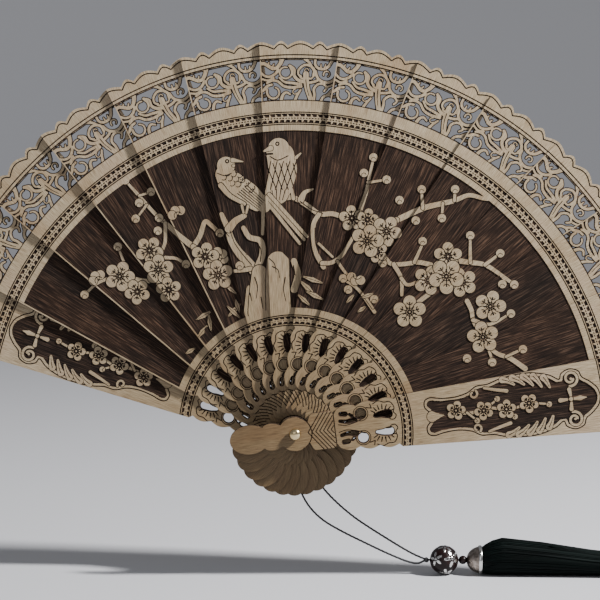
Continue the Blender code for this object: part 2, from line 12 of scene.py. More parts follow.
import bmesh
import bpy
import numpy as np
from mathutils import Matrix, Vector, noise
from mathutils.geometry import delaunay_2d_cdt
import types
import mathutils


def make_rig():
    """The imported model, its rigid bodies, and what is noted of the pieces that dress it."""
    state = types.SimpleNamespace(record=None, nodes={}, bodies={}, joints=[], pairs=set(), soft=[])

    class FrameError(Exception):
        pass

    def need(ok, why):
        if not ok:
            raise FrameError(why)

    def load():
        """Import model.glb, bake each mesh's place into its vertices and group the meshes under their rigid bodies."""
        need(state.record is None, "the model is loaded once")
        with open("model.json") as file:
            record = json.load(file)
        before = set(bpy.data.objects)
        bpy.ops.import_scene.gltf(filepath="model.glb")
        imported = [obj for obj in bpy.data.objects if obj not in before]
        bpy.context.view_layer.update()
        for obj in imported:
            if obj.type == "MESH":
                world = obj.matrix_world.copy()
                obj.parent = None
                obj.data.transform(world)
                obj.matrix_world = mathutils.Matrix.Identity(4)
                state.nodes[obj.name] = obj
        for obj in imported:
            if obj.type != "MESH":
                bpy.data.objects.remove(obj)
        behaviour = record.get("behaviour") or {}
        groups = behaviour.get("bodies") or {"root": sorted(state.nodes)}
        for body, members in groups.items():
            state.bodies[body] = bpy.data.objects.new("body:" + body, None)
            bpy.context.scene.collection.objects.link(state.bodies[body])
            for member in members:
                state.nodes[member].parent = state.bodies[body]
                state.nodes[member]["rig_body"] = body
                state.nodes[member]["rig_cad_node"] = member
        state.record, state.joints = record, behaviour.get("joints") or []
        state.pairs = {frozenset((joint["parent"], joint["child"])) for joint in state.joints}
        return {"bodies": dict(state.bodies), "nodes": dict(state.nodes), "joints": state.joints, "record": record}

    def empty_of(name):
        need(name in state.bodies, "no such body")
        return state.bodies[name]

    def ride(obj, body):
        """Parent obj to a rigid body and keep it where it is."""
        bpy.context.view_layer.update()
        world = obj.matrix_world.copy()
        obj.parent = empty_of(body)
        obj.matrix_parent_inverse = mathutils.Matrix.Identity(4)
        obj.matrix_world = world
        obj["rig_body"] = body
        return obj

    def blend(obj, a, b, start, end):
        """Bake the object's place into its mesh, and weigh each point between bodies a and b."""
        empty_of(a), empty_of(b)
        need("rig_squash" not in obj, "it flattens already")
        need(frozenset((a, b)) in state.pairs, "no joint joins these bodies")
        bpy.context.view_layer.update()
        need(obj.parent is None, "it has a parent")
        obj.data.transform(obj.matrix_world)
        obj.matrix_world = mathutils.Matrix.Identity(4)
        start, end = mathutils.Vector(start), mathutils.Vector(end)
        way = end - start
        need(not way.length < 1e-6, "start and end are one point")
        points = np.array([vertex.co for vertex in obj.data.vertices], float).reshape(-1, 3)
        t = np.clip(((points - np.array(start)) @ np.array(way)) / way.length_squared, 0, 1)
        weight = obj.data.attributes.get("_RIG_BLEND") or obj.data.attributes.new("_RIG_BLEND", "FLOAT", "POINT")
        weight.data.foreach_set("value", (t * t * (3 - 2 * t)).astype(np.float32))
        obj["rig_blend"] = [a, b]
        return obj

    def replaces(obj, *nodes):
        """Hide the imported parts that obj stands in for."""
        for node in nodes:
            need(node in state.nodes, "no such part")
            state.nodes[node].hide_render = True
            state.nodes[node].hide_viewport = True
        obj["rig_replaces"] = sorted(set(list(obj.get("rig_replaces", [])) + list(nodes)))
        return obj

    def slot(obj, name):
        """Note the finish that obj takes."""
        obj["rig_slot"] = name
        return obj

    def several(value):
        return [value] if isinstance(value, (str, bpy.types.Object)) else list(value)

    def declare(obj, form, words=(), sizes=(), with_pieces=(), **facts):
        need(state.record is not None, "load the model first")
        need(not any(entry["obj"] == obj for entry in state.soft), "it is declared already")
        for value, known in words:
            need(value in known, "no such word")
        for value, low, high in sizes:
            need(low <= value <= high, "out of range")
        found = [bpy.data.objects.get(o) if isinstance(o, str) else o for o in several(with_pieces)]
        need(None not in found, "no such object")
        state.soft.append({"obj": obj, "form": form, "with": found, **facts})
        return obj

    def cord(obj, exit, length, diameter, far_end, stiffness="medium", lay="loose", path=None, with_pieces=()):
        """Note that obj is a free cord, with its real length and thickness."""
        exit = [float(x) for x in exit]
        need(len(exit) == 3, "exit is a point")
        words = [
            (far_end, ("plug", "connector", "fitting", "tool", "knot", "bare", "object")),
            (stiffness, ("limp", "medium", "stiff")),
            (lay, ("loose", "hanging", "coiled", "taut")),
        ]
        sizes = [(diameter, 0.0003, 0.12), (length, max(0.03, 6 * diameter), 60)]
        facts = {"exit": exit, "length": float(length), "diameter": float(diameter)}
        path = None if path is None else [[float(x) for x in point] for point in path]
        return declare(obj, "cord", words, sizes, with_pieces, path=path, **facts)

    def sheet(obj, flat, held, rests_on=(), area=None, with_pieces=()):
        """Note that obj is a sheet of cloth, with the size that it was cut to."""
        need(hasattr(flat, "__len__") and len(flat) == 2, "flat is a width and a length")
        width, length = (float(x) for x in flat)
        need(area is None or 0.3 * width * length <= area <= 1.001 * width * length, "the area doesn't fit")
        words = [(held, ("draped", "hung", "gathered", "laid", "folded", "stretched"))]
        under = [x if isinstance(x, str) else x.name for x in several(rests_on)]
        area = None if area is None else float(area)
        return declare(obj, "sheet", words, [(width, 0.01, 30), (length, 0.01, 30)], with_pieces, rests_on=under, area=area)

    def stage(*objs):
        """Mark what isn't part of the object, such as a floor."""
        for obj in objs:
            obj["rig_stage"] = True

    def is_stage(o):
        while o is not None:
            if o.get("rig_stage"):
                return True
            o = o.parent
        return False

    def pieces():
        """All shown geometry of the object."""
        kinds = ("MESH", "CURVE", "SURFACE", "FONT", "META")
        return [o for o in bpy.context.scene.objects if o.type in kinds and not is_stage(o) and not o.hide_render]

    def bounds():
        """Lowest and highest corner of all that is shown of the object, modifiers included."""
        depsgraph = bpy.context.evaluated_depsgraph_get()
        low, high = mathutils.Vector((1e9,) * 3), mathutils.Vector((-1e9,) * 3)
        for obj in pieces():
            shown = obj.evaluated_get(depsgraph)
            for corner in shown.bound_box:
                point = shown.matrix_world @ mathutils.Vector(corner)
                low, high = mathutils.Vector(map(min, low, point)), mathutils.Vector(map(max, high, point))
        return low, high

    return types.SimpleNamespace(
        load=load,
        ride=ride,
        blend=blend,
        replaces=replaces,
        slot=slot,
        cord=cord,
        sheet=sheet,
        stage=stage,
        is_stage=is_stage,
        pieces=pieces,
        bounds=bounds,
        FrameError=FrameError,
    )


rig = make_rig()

MM = 0.001

# The fan: layer 0 is the rear guard at the left, layers 1 to 12 are sticks, layer 13 is the front guard.
STICK_COUNT = 12
PITCH_DEG = 11.8
REAR_GUARD_DEG = -70.0
FRONT_GUARD_DEG = 82.7
STICK_THICK = 1.1
GUARD_THICK = 2.6
LAYER_PITCH = 1.5
GUARD_Y = 10.5

# A stick's outline, in millimetres.
HALF_WIDTH_AT_RIVET = 10.0
EDGE_TAPER = math.tan(math.radians(3.17))
RIM_RADIUS = 197.0
RIM_NOTCH_DEPTH = 2.4
RIM_CORNER_DROP = 3.4
SCALLOP_ENDS = (-1.0, -0.64, -0.31, 0.31, 0.64, 1.0)
PIVOT_DISC = (0.0, 8.5, 8.5)
MIDDLE_LOBE = (-11.7, 7.4, 6.8)
END_LOBE = (-23.0, 10.0, 7.3)
LOBE_JOINTS = (6.9, -7.1, -15.9)
HEEL_BLOCK = ((8.2, 8.0), (9.3, 9.3), (18.8, 9.3), (20.6, 7.6))
CHEVRON_COUNT = 7
CHEVRON_START = 6.6
CHEVRON_PITCH = 1.95
CHEVRON_END = 19.6
CHEVRON_SIZE = (9.6, 7.2)
CHEVRON_WIDTH = 0.5
HEEL_LINE = ((-9.4, 20.2), (9.4, 20.2))
HEEL_LINE_WIDTH = 0.55
PIVOT_RING_WIDTH = 0.5
PIVOT_RING_START_V = 3.0
GORGE_START = 22.0
BLADE_START = 51.5
GORGE_NOTCH = 1.5
GORGE_SCALLOPS = 3
CURVE_POINTS = 16
RIVET_HOLE_RADIUS = 1.9

# The carving grid and the relief.
GRID_STEP = 0.22
GRID_HALF_U = 22.5
GRID_V = (-34.0, 198.5)
FAR_INSIDE = 50.0
STROKE_REACH = 1.2
BURN_WIDTH = 0.44
OUTLINE_WIDTH = 0.36
ENGRAVE_DEPTH = 0.3
TRACE_TOLERANCE = 0.02
TRACE_ROUNDS = 4

# Bands of the pattern, as distances from the rivet in millimetres.
RIM_LINE_INSET = 1.6
RIM_LINE_POINTS = 120
RIM_LINES = (190.0, 188.2)
SCROLL_BAND = (167.7, 187.3)
SCROLL_MID_RADIUS = 177.0
SCROLL_EDGE_MARGIN = 1.1
SCROLL_EXTRA = 0.3
OUTER_FRET = (155.0, 161.6)
OUTER_FRET_PAIRS = 11
FIELD = (62.9, 152.2)
# A pale strip along the field's edges on sticks below this angle: painted highlight for their edge walls, lit from the
# right.
PAINTED_EDGE_HIGHLIGHT = 0.7
PAINTED_EDGE_HIGHLIGHT_BELOW_DEG = -20.0
INNER_FRET = (53.7, 59.5)
INNER_FRET_PAIRS = 4
FRET_BORDER = 0.75
FRET_LINE = 0.36
LINE_WIDTH = 0.62
BLOSSOM_SCALE = 1.12
FRET_STROKE = 0.52
# One T of the fret, as lines of (share of the pitch, share of half the band).
FRET_SHAPE = (((0.0, -1.0), (0.0, 0.3)), ((-0.36, 0.3), (0.36, 0.3)), ((-0.36, 0.3), (-0.36, 0.75)))

# The scrollwork, as lines of (arc length, distance from the rivet) with their widths at start and end.
SCROLL_STROKES = (
    (((-19.5, 186.0), (-17.4, 186.2), (-15.2, 184.7), (-13.3, 183.4), (-11.2, 183.6)), (2.2, 2.2)),
    (((-11.2, 183.6), (-9.6, 185.6), (-8.6, 187.8)), (2.2, 2.6)),
    (((-15.6, 185.0), (-14.9, 186.6)), (1.5, 1.1)),
    (((-13.4, 184.0), (-12.6, 185.6)), (1.5, 1.1)),
    (((-19.4, 182.0), (-17.4, 180.0), (-15.0, 179.4), (-12.6, 180.4), (-10.6, 182.4)), (1.6, 2.0)),
    (((-18.9, 178.6), (-16.0, 177.6), (-13.2, 178.6)), (1.5, 1.7)),
    (((-5.0, 184.4), (-2.9, 182.6), (-2.9, 179.6), (-0.8, 177.3), (2.6, 176.4)), (2.0, 2.2)),
    (((-10.2, 178.6), (-7.6, 176.4), (-4.0, 175.9), (0.4, 175.2)), (1.5, 2.0)),
    (((-16.6, 176.4), (-13.8, 177.4), (-11.0, 176.8), (-8.2, 174.4), (-4.2, 173.6), (0.6, 174.2)),
     (1.6, 2.0)),
    (((-19.0, 172.6), (-16.8, 174.8), (-14.2, 175.4)), (1.7, 1.7)),
    (((-9.9, 167.0), (-8.9, 169.9), (-7.0, 171.2), (-5.0, 170.2)), (2.2, 1.4)),
    (((-2.6, 167.0), (-1.2, 170.0), (0.4, 172.4)), (2.0, 1.5)),
    (((0.6, 179.2), (-0.9, 180.4), (-0.4, 182.9), (2.2, 184.9), (5.0, 184.5), (6.9, 182.4),
     (6.8, 180.0)), (1.4, 2.1)),
    (((2.9, 180.4), (3.1, 177.2), (3.7, 173.4), (5.2, 169.4), (6.2, 167.0)), (3.4, 2.8)),
    (((3.2, 178.4), (0.9, 178.2), (-0.4, 179.6)), (1.6, 1.3)),
    (((3.4, 178.4), (5.6, 178.3), (6.8, 179.8)), (1.6, 1.3)),
    (((2.4, 187.8), (4.2, 186.4), (5.4, 184.6)), (2.0, 1.6)),
    (((7.2, 187.8), (7.2, 185.4), (8.8, 183.6), (11.4, 183.4), (13.6, 184.8), (15.0, 187.6)), (1.7, 2.0)),
    (((10.0, 184.0), (10.0, 185.6)), (1.4, 1.0)),
    (((12.0, 184.2), (12.2, 185.8)), (1.4, 1.0)),
    (((7.6, 182.0), (8.6, 179.0), (11.0, 177.1), (14.0, 176.8), (16.6, 178.2), (18.0, 180.6),
     (18.4, 184.0)), (1.8, 2.0)),
    (((5.0, 176.2), (7.4, 176.8), (9.6, 178.0)), (1.8, 1.8)),
    (((7.4, 167.0), (7.6, 170.4), (7.2, 173.2), (9.2, 175.6), (11.8, 175.9), (13.7, 174.2),
     (12.6, 172.4)), (1.9, 1.5)),
    (((11.0, 167.0), (12.4, 169.4), (15.0, 170.6), (17.6, 170.0), (19.6, 171.0)), (1.8, 1.7)),
    (((14.6, 170.8), (16.6, 173.2), (19.4, 174.6)), (1.7, 1.7)),
    (((13.8, 174.6), (16.4, 175.8), (19.4, 178.4)), (1.5, 1.6)),
)
# Spirals as (centre, radius, start and end angle, end radius, widths).
SCROLL_SPIRALS = (
    ((-7.2, 181.2), 3.3, 40, -290, 2.6, (1.5, 1.3)),
    ((-13.4, 171.6), 3.7, 160, 430, 2.4, (1.7, 1.3)),
    ((3.2, 182.2), 1.0, 0, 300, 0.9, (1.0, 1.0)),
    ((13.2, 180.9), 1.7, 200, -60, 1.2, (1.3, 1.1)),
    ((-2.4, 171.4), 1.4, 90, 330, 1.0, (1.1, 1.0)),
)
SCROLL_ENGRAVED = (
    (((-12.6, 181.4), (-14.6, 180.4), (-16.8, 181.2)), (0.35, 0.25)),
    (((2.9, 177.6), (3.5, 173.6), (4.8, 169.6)), (0.45, 0.3)),
    (((8.8, 180.6), (11.2, 178.1), (14.0, 177.7)), (0.3, 0.25)),
)

PETAL_TIP = (
    (10.2, 40.4), (11.4, 43.4), (10.4, 46.0), (10.2, 49.2), (7.4, 50.9),
    (5.0, 50.4), (3.2, 51.6), (1.4, 50.4), (1.6, 48.4), (2.8, 48.0),
)

# The picture on the open fan, in millimetres from the rivet: branches as (points, start and end width).
BARK_WIDTHS = (0.5, 0.35)
CRACK_WIDTHS = (0.6, 0.3)
ROCK_OUTLINE = 0.42
BRANCHES = (
    (((-20.9, 82.0), (-24.6, 86.6), (-28.6, 91.0), (-32.2, 97.0), (-34.0, 103.0),
     (-37.1, 109.8)), 5.4, 2.4),
    (((-33.4, 102.6), (-30.0, 106.6), (-25.6, 109.2)), 4.0, 2.6),
    (((-30.8, 81.2), (-26.6, 81.6), (-22.4, 82.4)), 1.6, 2.4),
    (((-26.0, 103.0), (-23.0, 98.4), (-17.4, 96.4), (-16.4, 90.0), (-18.6, 84.0)), 2.4, 3.4),
    (((-16.0, 118.4), (-8.0, 117.6), (-1.2, 118.4), (5.5, 114.8), (12.2, 110.3), (18.9, 110.3),
     (24.0, 108.6)), 2.6, 2.4),
    (((3.0, 117.4), (5.0, 121.0), (9.0, 122.6)), 3.4, 0.9),
    (((-1.6, 122.4), (-0.8, 118.0)), 1.4, 2.0),
    (((103.0, 117.7), (95.0, 118.0), (87.4, 119.7), (80.0, 117.0), (74.2, 115.6), (64.1, 113.1),
     (51.0, 107.1)), 1.7, 3.0),
    (((51.0, 107.1), (45.0, 103.0), (38.0, 99.0)), 3.0, 2.4),
    (((80.0, 117.0), (80.3, 122.7)), 1.6, 1.2),
    (((64.1, 113.1), (63.6, 121.7)), 1.7, 1.2),
    (((74.2, 115.6), (73.7, 109.1)), 1.5, 1.1),
    (((39.4, 137.9), (37.6, 130.0), (35.9, 121.7), (33.4, 114.0), (31.3, 107.1)), 1.3, 2.4),
    (((36.6, 126.0), (44.9, 127.3)), 1.4, 1.1),
    (((12.2, 110.3), (9.3, 105.0), (9.3, 97.0), (10.8, 90.0), (14.4, 83.4)), 2.2, 2.4),
    (((13.6, 85.4), (18.4, 85.7), (23.3, 89.1), (27.6, 95.9), (31.5, 102.6)), 2.2, 1.6),
    (((12.0, 95.2), (18.9, 88.6)), 1.3, 1.1),
    (((21.3, 86.4), (25.2, 80.9), (30.5, 74.6)), 1.5, 1.3),
    (((45.0, 89.1), (48.4, 85.2), (55.6, 85.2), (62.0, 86.0), (68.2, 84.8)), 2.0, 2.4),
    (((49.6, 85.0), (53.4, 78.0), (53.7, 69.6)), 2.2, 1.6),
    (((53.4, 78.0), (57.0, 74.6), (65.3, 78.0)), 1.8, 1.6),
    (((60.0, 86.0), (64.1, 95.4)), 1.8, 1.2),
    (((81.8, 86.9), (88.0, 86.0), (95.4, 84.8), (103.0, 80.0), (109.6, 75.2)), 2.8, 1.6),
    (((88.0, 86.0), (87.9, 92.4), (87.9, 98.5)), 1.8, 1.2),
    (((95.4, 84.8), (102.0, 89.9)), 1.8, 1.2),
    (((86.4, 66.7), (88.6, 62.0), (89.4, 57.1), (92.0, 52.0)), 2.4, 1.8),
    (((89.4, 57.1), (98.0, 55.0), (107.6, 60.1)), 2.0, 1.2),
    (((70.0, 72.0), (62.0, 66.0), (57.6, 61.1)), 2.4, 2.0),
    (((94.4, 48.5), (97.0, 43.0), (99.0, 36.9)), 1.8, 1.2),
    (((92.0, 52.0), (100.0, 41.4), (108.0, 38.0), (115.6, 32.8)), 1.8, 2.6),
    (((106.0, 38.8), (113.6, 42.4)), 1.5, 1.2),
    (((-85.3, 126.3), (-79.3, 119.7), (-71.7, 111.1), (-65.1, 105.0), (-59.1, 99.5),
     (-51.5, 93.4)), 1.2, 3.0),
    (((-51.5, 93.4), (-48.0, 99.0), (-45.5, 106.1), (-42.0, 104.0), (-38.9, 101.0)), 2.6, 2.0),
    (((-51.5, 93.4), (-45.0, 88.0), (-38.9, 80.8)), 2.8, 2.2),
    (((-78.8, 119.2), (-73.7, 120.7)), 1.2, 1.0),
    (((-75.0, 114.6), (-79.8, 108.1)), 1.3, 1.0),
    (((-65.7, 105.4), (-65.7, 96.0), (-68.0, 90.0)), 1.8, 1.6),
    (((-65.7, 87.9), (-60.0, 87.4), (-56.1, 84.8)), 1.8, 1.2),
    (((-66.7, 76.3), (-76.0, 76.0), (-88.9, 78.3), (-99.5, 75.2), (-106.6, 69.2)), 2.4, 1.2),
    (((-82.0, 77.4), (-86.0, 84.0), (-89.4, 92.4)), 1.7, 1.1),
    (((25.0, 77.0), (32.0, 72.0), (40.0, 61.0)), 1.2, 1.8),
    (((35.3, 68.8), (39.2, 63.0)), 1.2, 1.0),
)
BARK_LINES = (
    ((-24.0, 91.6), (-22.4, 91.8), (-22.2, 90.2), (-23.8, 90.0)), ((-35.0, 100.6), (-33.2, 98.6)),
    ((-22.0, 84.4), (-26.4, 89.6), (-30.6, 95.6), (-32.8, 101.6)), ((-24.4, 89.6), (-22.2, 91.8),
    (-23.6, 93.2)),
    ((-17.6, 86.0), (-17.2, 92.0), (-19.8, 96.0)), ((2.6, 116.4), (8.0, 112.6), (14.0, 110.4)),
    ((10.0, 103.0), (10.2, 96.0), (12.0, 90.0)),
)
LEAVES = (
    ((2.0, 77.0), (10.5, 69.0), 2.6), ((5.0, 71.5), (15.0, 66.6), 2.4), ((3.0, 79.0), (15.0, 75.0), 2.4),
    ((1.0, 70.0), (8.0, 63.6), 2.2), ((-27.0, 65.0), (-34.5, 57.5), 2.4), ((-28.0, 60.0),
    (-30.4, 67.4), 2.2),
    ((-27.5, 57.0), (-35.0, 64.0), 2.2), ((-42.0, 61.0), (-50.5, 56.0), 2.4), ((-44.0, 54.0),
    (-50.0, 46.5), 2.4),
    ((-42.5, 50.0), (-44.0, 60.0), 2.2), ((-50.5, 42.0), (-56.0, 38.6), 2.2), ((-36.0, 75.0),
    (-29.0, 69.0), 2.0),
    ((25.0, 77.0), (31.0, 78.6), 2.0), ((30.0, 70.0), (25.5, 65.0), 2.0), ((33.0, 68.0), (40.0, 70.5), 2.0),
    ((36.0, 64.0), (31.0, 60.6), 2.0),
)
ROCKS = (
    (((-22.4, 72.0), (-23.2, 60.0)), (4.4, 5.4)),
    (((-0.6, 86.4), (1.4, 79.6), (-0.4, 72.0)), (3.0, 3.6)),
    (((-18.0, 80.6), (-18.6, 72.0), (-19.0, 60.0)), (7.4, 9.4)),
    (((-8.6, 85.6), (-8.8, 74.0), (-8.2, 60.0)), (11.2, 12.6)),
)
ROCK_CRACKS = (
    ((-13.0, 87.6), (-10.4, 85.0), (-9.6, 80.6)), ((-11.4, 83.6), (-8.6, 81.8), (-7.8, 77.8)),
    ((-20.4, 78.0), (-19.0, 73.4), (-19.6, 67.4)), ((-22.8, 70.0), (-21.8, 66.0)),
    ((-5.0, 78.0), (-5.8, 72.0), (-4.6, 66.0)), ((-0.8, 84.0), (0.2, 79.0)), ((-17.2, 68.0), (-16.2, 62.0)),
)
BUDS = (
    (80.3, 122.7), (73.7, 108.2), (63.6, 122.6), (52.5, 117.2), (60.6, 107.0), (103.6, 117.9),
    (39.4, 138.6),
    (34.6, 130.8), (46.0, 127.5), (26.7, 72.2), (39.8, 67.4), (87.9, 99.6), (103.0, 90.6), (110.0, 75.0),
    (64.1, 96.6), (104.0, 75.2), (114.4, 42.6), (86.4, 37.9), (99.0, 36.0), (108.4, 60.4), (-85.8, 127.0),
    (-78.8, 115.6), (-72.8, 121.2), (-80.6, 107.6), (-68.7, 108.0), (-69.4, 101.5), (-89.8, 93.4),
    (-106.9, 68.9), (-55.2, 84.6), (-38.0, 100.4), (24.2, 77.8), (-28.0, 84.0), (44.0, 85.6),
)
HALF_BLOSSOMS = (((-59.1, 109.1), 120), ((31.3, 79.3), 250), ((-99.5, 76.2), 130), ((-38.9, 88.0), 40))
BLOSSOMS = (
    ((28.6, 108.0), 11.0, 95), ((36.4, 107.4), 9.5, 80), ((46.0, 101.6), 13.0, 62),
    ((41.4, 91.0), 9.0, 250),
    ((36.3, 96.6), 14.0, 75), ((76.8, 89.0), 12.0, 90), ((67.0, 77.0), 12.5, 70), ((84.0, 76.0), 12.5, 110),
    ((76.0, 79.0), 15.0, 55), ((57.6, 61.1), 14.0, 90), ((98.0, 64.0), 13.5, 75), ((94.4, 48.5), 13.5, 100),
    ((-45.5, 88.5), 12.0, 80), ((-38.9, 79.0), 13.0, 100), ((-73.7, 91.5), 12.0, 60),
    ((-69.2, 81.8), 13.0, 90),
    ((-88.9, 78.3), 13.0, 70), ((-64.0, 71.5), 11.0, 100), ((-80.0, 70.5), 11.0, 50),
)

CARTOUCHE_FRAME = 1.5
CARTOUCHE_SIDE = (
    (0.0, 68.6), (2.4, 68.2), (5.0, 66.2), (8.4, 66.6), (9.6, 69.6), (8.6, 75.0), (8.4, 82.0), (9.8, 88.4),
    (12.4, 93.0), (12.8, 99.0), (14.6, 105.0), (15.8, 114.0), (15.6, 122.0), (13.4, 130.0), (10.6, 134.6),
    (13.4, 136.0), (15.2, 140.2), (13.8, 144.6), (10.4, 146.2), (8.0, 149.6), (4.2, 153.2), (0.0, 154.4),
)

LEAF_SPRAY = (
    ((14.0, 106.5), (11.0, 112.0)), ((14.4, 111.5), (10.4, 117.0)), ((14.3, 117.0), (9.4, 121.4)),
    ((13.8, 122.0), (8.2, 125.6)), ((12.6, 127.0), (7.4, 129.6)),
)

SPRIG_STEM = ((-2.2, 79.0), (0.6, 88.0), (-0.8, 98.0), (1.4, 108.0), (-0.4, 118.0), (0.8, 127.0))

# Which sides of a cell (0 bottom, 1 right, 2 top, 3 left) the line joins, with the inside on its left,
# by which corners are inside (1 bottom left, 2 bottom right, 4 top right, 8 top left).
TRACE_CASES = {
    1: ((0, 3),), 2: ((1, 0),), 3: ((1, 3),), 4: ((2, 1),), 5: ((0, 3), (2, 1)), 6: ((2, 0),),
    7: ((2, 3),), 8: ((3, 2),), 9: ((0, 2),), 10: ((1, 0), (3, 2)), 11: ((1, 2),), 12: ((3, 1),),
    13: ((0, 1),), 14: ((3, 0),),
}

GRAIN_SCALE = 10
GRAIN_SHIFT = 0.37

# Where the painted shade near the rivet starts and ends along a stick, in the grain map's units.
RIVET_SHADE_FROM = -0.34
RIVET_SHADE_TO = 2.0

# The silk ribbon on the back, in millimetres.
RIBBON_RADIUS = 159.5
RIBBON_WIDTH = 10.0
RIBBON_THICK = 0.2
RIBBON_CLEARANCE = 0.1
RIBBON_END_GAP = 0.05
RIBBON_BEND_EXTRA = 0.25
RIBBON_STEP_GAP = 0.7
RIBBON_STEP_LENGTH = 1.2
RIBBON_ROWS = 48
RIBBON_COLUMNS = 10
RIBBON_SHARP_DEG = 50

# The metal parts on the rivet, in millimetres.
STACK_HALF = 11.8
FIT_GAP = 0.3
WASHER_THICK = 0.4
RIVET_RADIUS = 1.5
HEAD_RADIUS = 2.9
HEAD_HEIGHT = 1.9
RING_RADIUS = 3.7
RING_WIRE_RADIUS = 0.7
RING_CENTRE = (0.0, 13.5, -1.3)
REAR_CAP_RADIUS = 3.6
REAR_CAP_HEIGHT = 1.8
REAR_CAP_Y = 14.5
TURNED_STEPS = 56
TURNED_SHARP_DEG = 40
WIRE_STEPS = 16
WASHER_CHAMFER = 0.1
WASHERS = (("front_washer", 2.6, -1), ("rear_washer", 4.2, 1))
TO_FRONT = Matrix.Rotation(math.radians(90), 4, "X")
TO_REAR = Matrix.Rotation(math.radians(-90), 4, "X")
TO_RIGHT = Matrix.Rotation(math.radians(90), 4, "Y")

# The tassel and its cord, in millimetres.
TABLE_Z = -75.2
TASSEL_Y = 11.0
TASSEL_Z = -67.7
CORD_RADIUS = 0.55
KNOT_X = 67.3
KNOT_RADIUS = 1.3
BEAD_X = 76.4
BEAD_RADIUS = 7.5
BORE_RADIUS = 0.8
SMALL_BEAD_X = 86.0
SMALL_BEAD_RADIUS = 2.2
CAP_X = 87.8
CAP_LENGTH = 7.8
CAP_RADIUS = 7.0
CAP_WALL = 0.8
BAND_LENGTH = 1.6
BAND_RADIUS = 7.5
SKIRT_X = 95.9
SKIRT_LENGTH = 104.0
CORD_INTO_SKIRT = 50.0
CORD_DROP_IN_SKIRT = 0.7
# The skirt's outline as (share of its length, height above the table, half width).
SKIRT_SECTIONS = (
    (0.0, 14.6, 7.2), (0.04, 17.2, 8.8), (0.1, 19.0, 9.8),
    (0.3, 16.6, 10.6), (0.55, 12.4, 11.6), (1.0, 8.0, 13.0),
)
STRAND_A = (
    (-0.35, 14.8, -5.4), (-0.9, 15.3, -6.9), (-0.6, 15.6, -14.0), (0.6, 15.4, -24.0), (3.0, 15.0, -33.0),
    (7.6, 14.4, -41.0), (14.5, 13.7, -47.6), (24.0, 13.0, -53.2), (35.0, 12.3, -58.6), (46.0, 11.8, -63.8),
    (55.0, 11.5, -67.6), (60.5, 11.3, -69.3), (63.6, 11.2, -69.3), (65.7, 11.1, -68.3),
)
STRAND_B = (
    (0.35, 14.8, -5.4), (0.9, 15.3, -6.9), (3.2, 16.6, -13.0), (8.4, 16.9, -22.5), (15.0, 16.3, -32.0),
    (22.4, 15.6, -39.6), (30.4, 14.9, -46.2), (38.4, 14.3, -51.6), (46.4, 13.7, -56.6), (54.0, 13.0, -61.2),
    (60.6, 12.2, -64.8), (65.6, 11.3, -66.9),
)

# Inlaid flowers on the bead: each a direction from its centre and a size in radians.
BEAD_FLOWERS = (
    ((0.55, -0.80, 0.25), 0.62), ((-0.62, -0.75, 0.20), 0.5),
    ((0.1, -0.55, -0.85), 0.5), ((0.05, -0.35, 0.95), 0.5),
    ((0.55, 0.80, 0.25), 0.62), ((-0.6, 0.78, -0.2), 0.5),
    ((0.0, 0.4, 0.9), 0.45), ((0.1, 0.6, -0.8), 0.45),
)
INLAY_HEIGHT = 0.16
BEAD_RINGS = 110
BEAD_STEPS = 160
BEAD_SHARP_DEG = 35

SKIRT_ROWS = 70
SKIRT_SIDES = 180
SKIRT_STRANDS = 170
SKIRT_SEED = 11
STRAY_THREAD = ((127.0, 6.6, -60.4), (132.0, 5.6, -59.4), (137.5, 5.2, -60.6), (142.5, 5.4, -63.0))

# The camera and the lights, in metres.
AIM = Vector((0.0025, 0.0, 0.0667))
CAMERA_LENS = 150.0
CAMERA_DISTANCE = 1.262
CAMERA_ELEVATION_DEG = 4.0
FLOOR_RADIUS = 3.6
COVE_RADIUS = 1.2
WALL_HEIGHT = 4.5
FLOOR_GAP = 0.2
COVE_STEPS = 16
FLOOR_COLOUR = (0.62, 0.62, 0.645, 1.0)
ROOM_COLOUR = (0.93, 0.95, 1.0, 1.0)
ROOM_STRENGTH = 0.24


def curve_points(points, steps=6):
    """A smooth (Catmull-Rom) line through the points."""
    if len(points) < 3:
        return [tuple(map(float, point)) for point in points]
    anchors = np.array(points, float)
    anchors = np.vstack([2 * anchors[0] - anchors[1], anchors, 2 * anchors[-1] - anchors[-2]])
    made = []
    for before, start, end, after in zip(anchors, anchors[1:], anchors[2:], anchors[3:]):
        for i in range(steps):
            t = i / steps
            made.append(
                0.5 * (2 * start + (end - before) * t
                       + (2 * before - 5 * start + 4 * end - after) * t ** 2
                       + (3 * start - before - 3 * end + after) * t ** 3)
            )
    made.append(anchors[-2])
    return [tuple(point) for point in made]


def arc_points(centre, radius, start_deg, end_deg, steps=14, end_radius=None):
    """An arc, or a spiral when it ends at another radius. Angles run anticlockwise from +U."""
    end_radius = radius if end_radius is None else end_radius
    made = []
    for i in range(steps + 1):
        part = i / steps
        angle = math.radians(start_deg + (end_deg - start_deg) * part)
        here = radius + (end_radius - radius) * part
        made.append((centre[0] + here * math.cos(angle), centre[1] + here * math.sin(angle)))
    return made


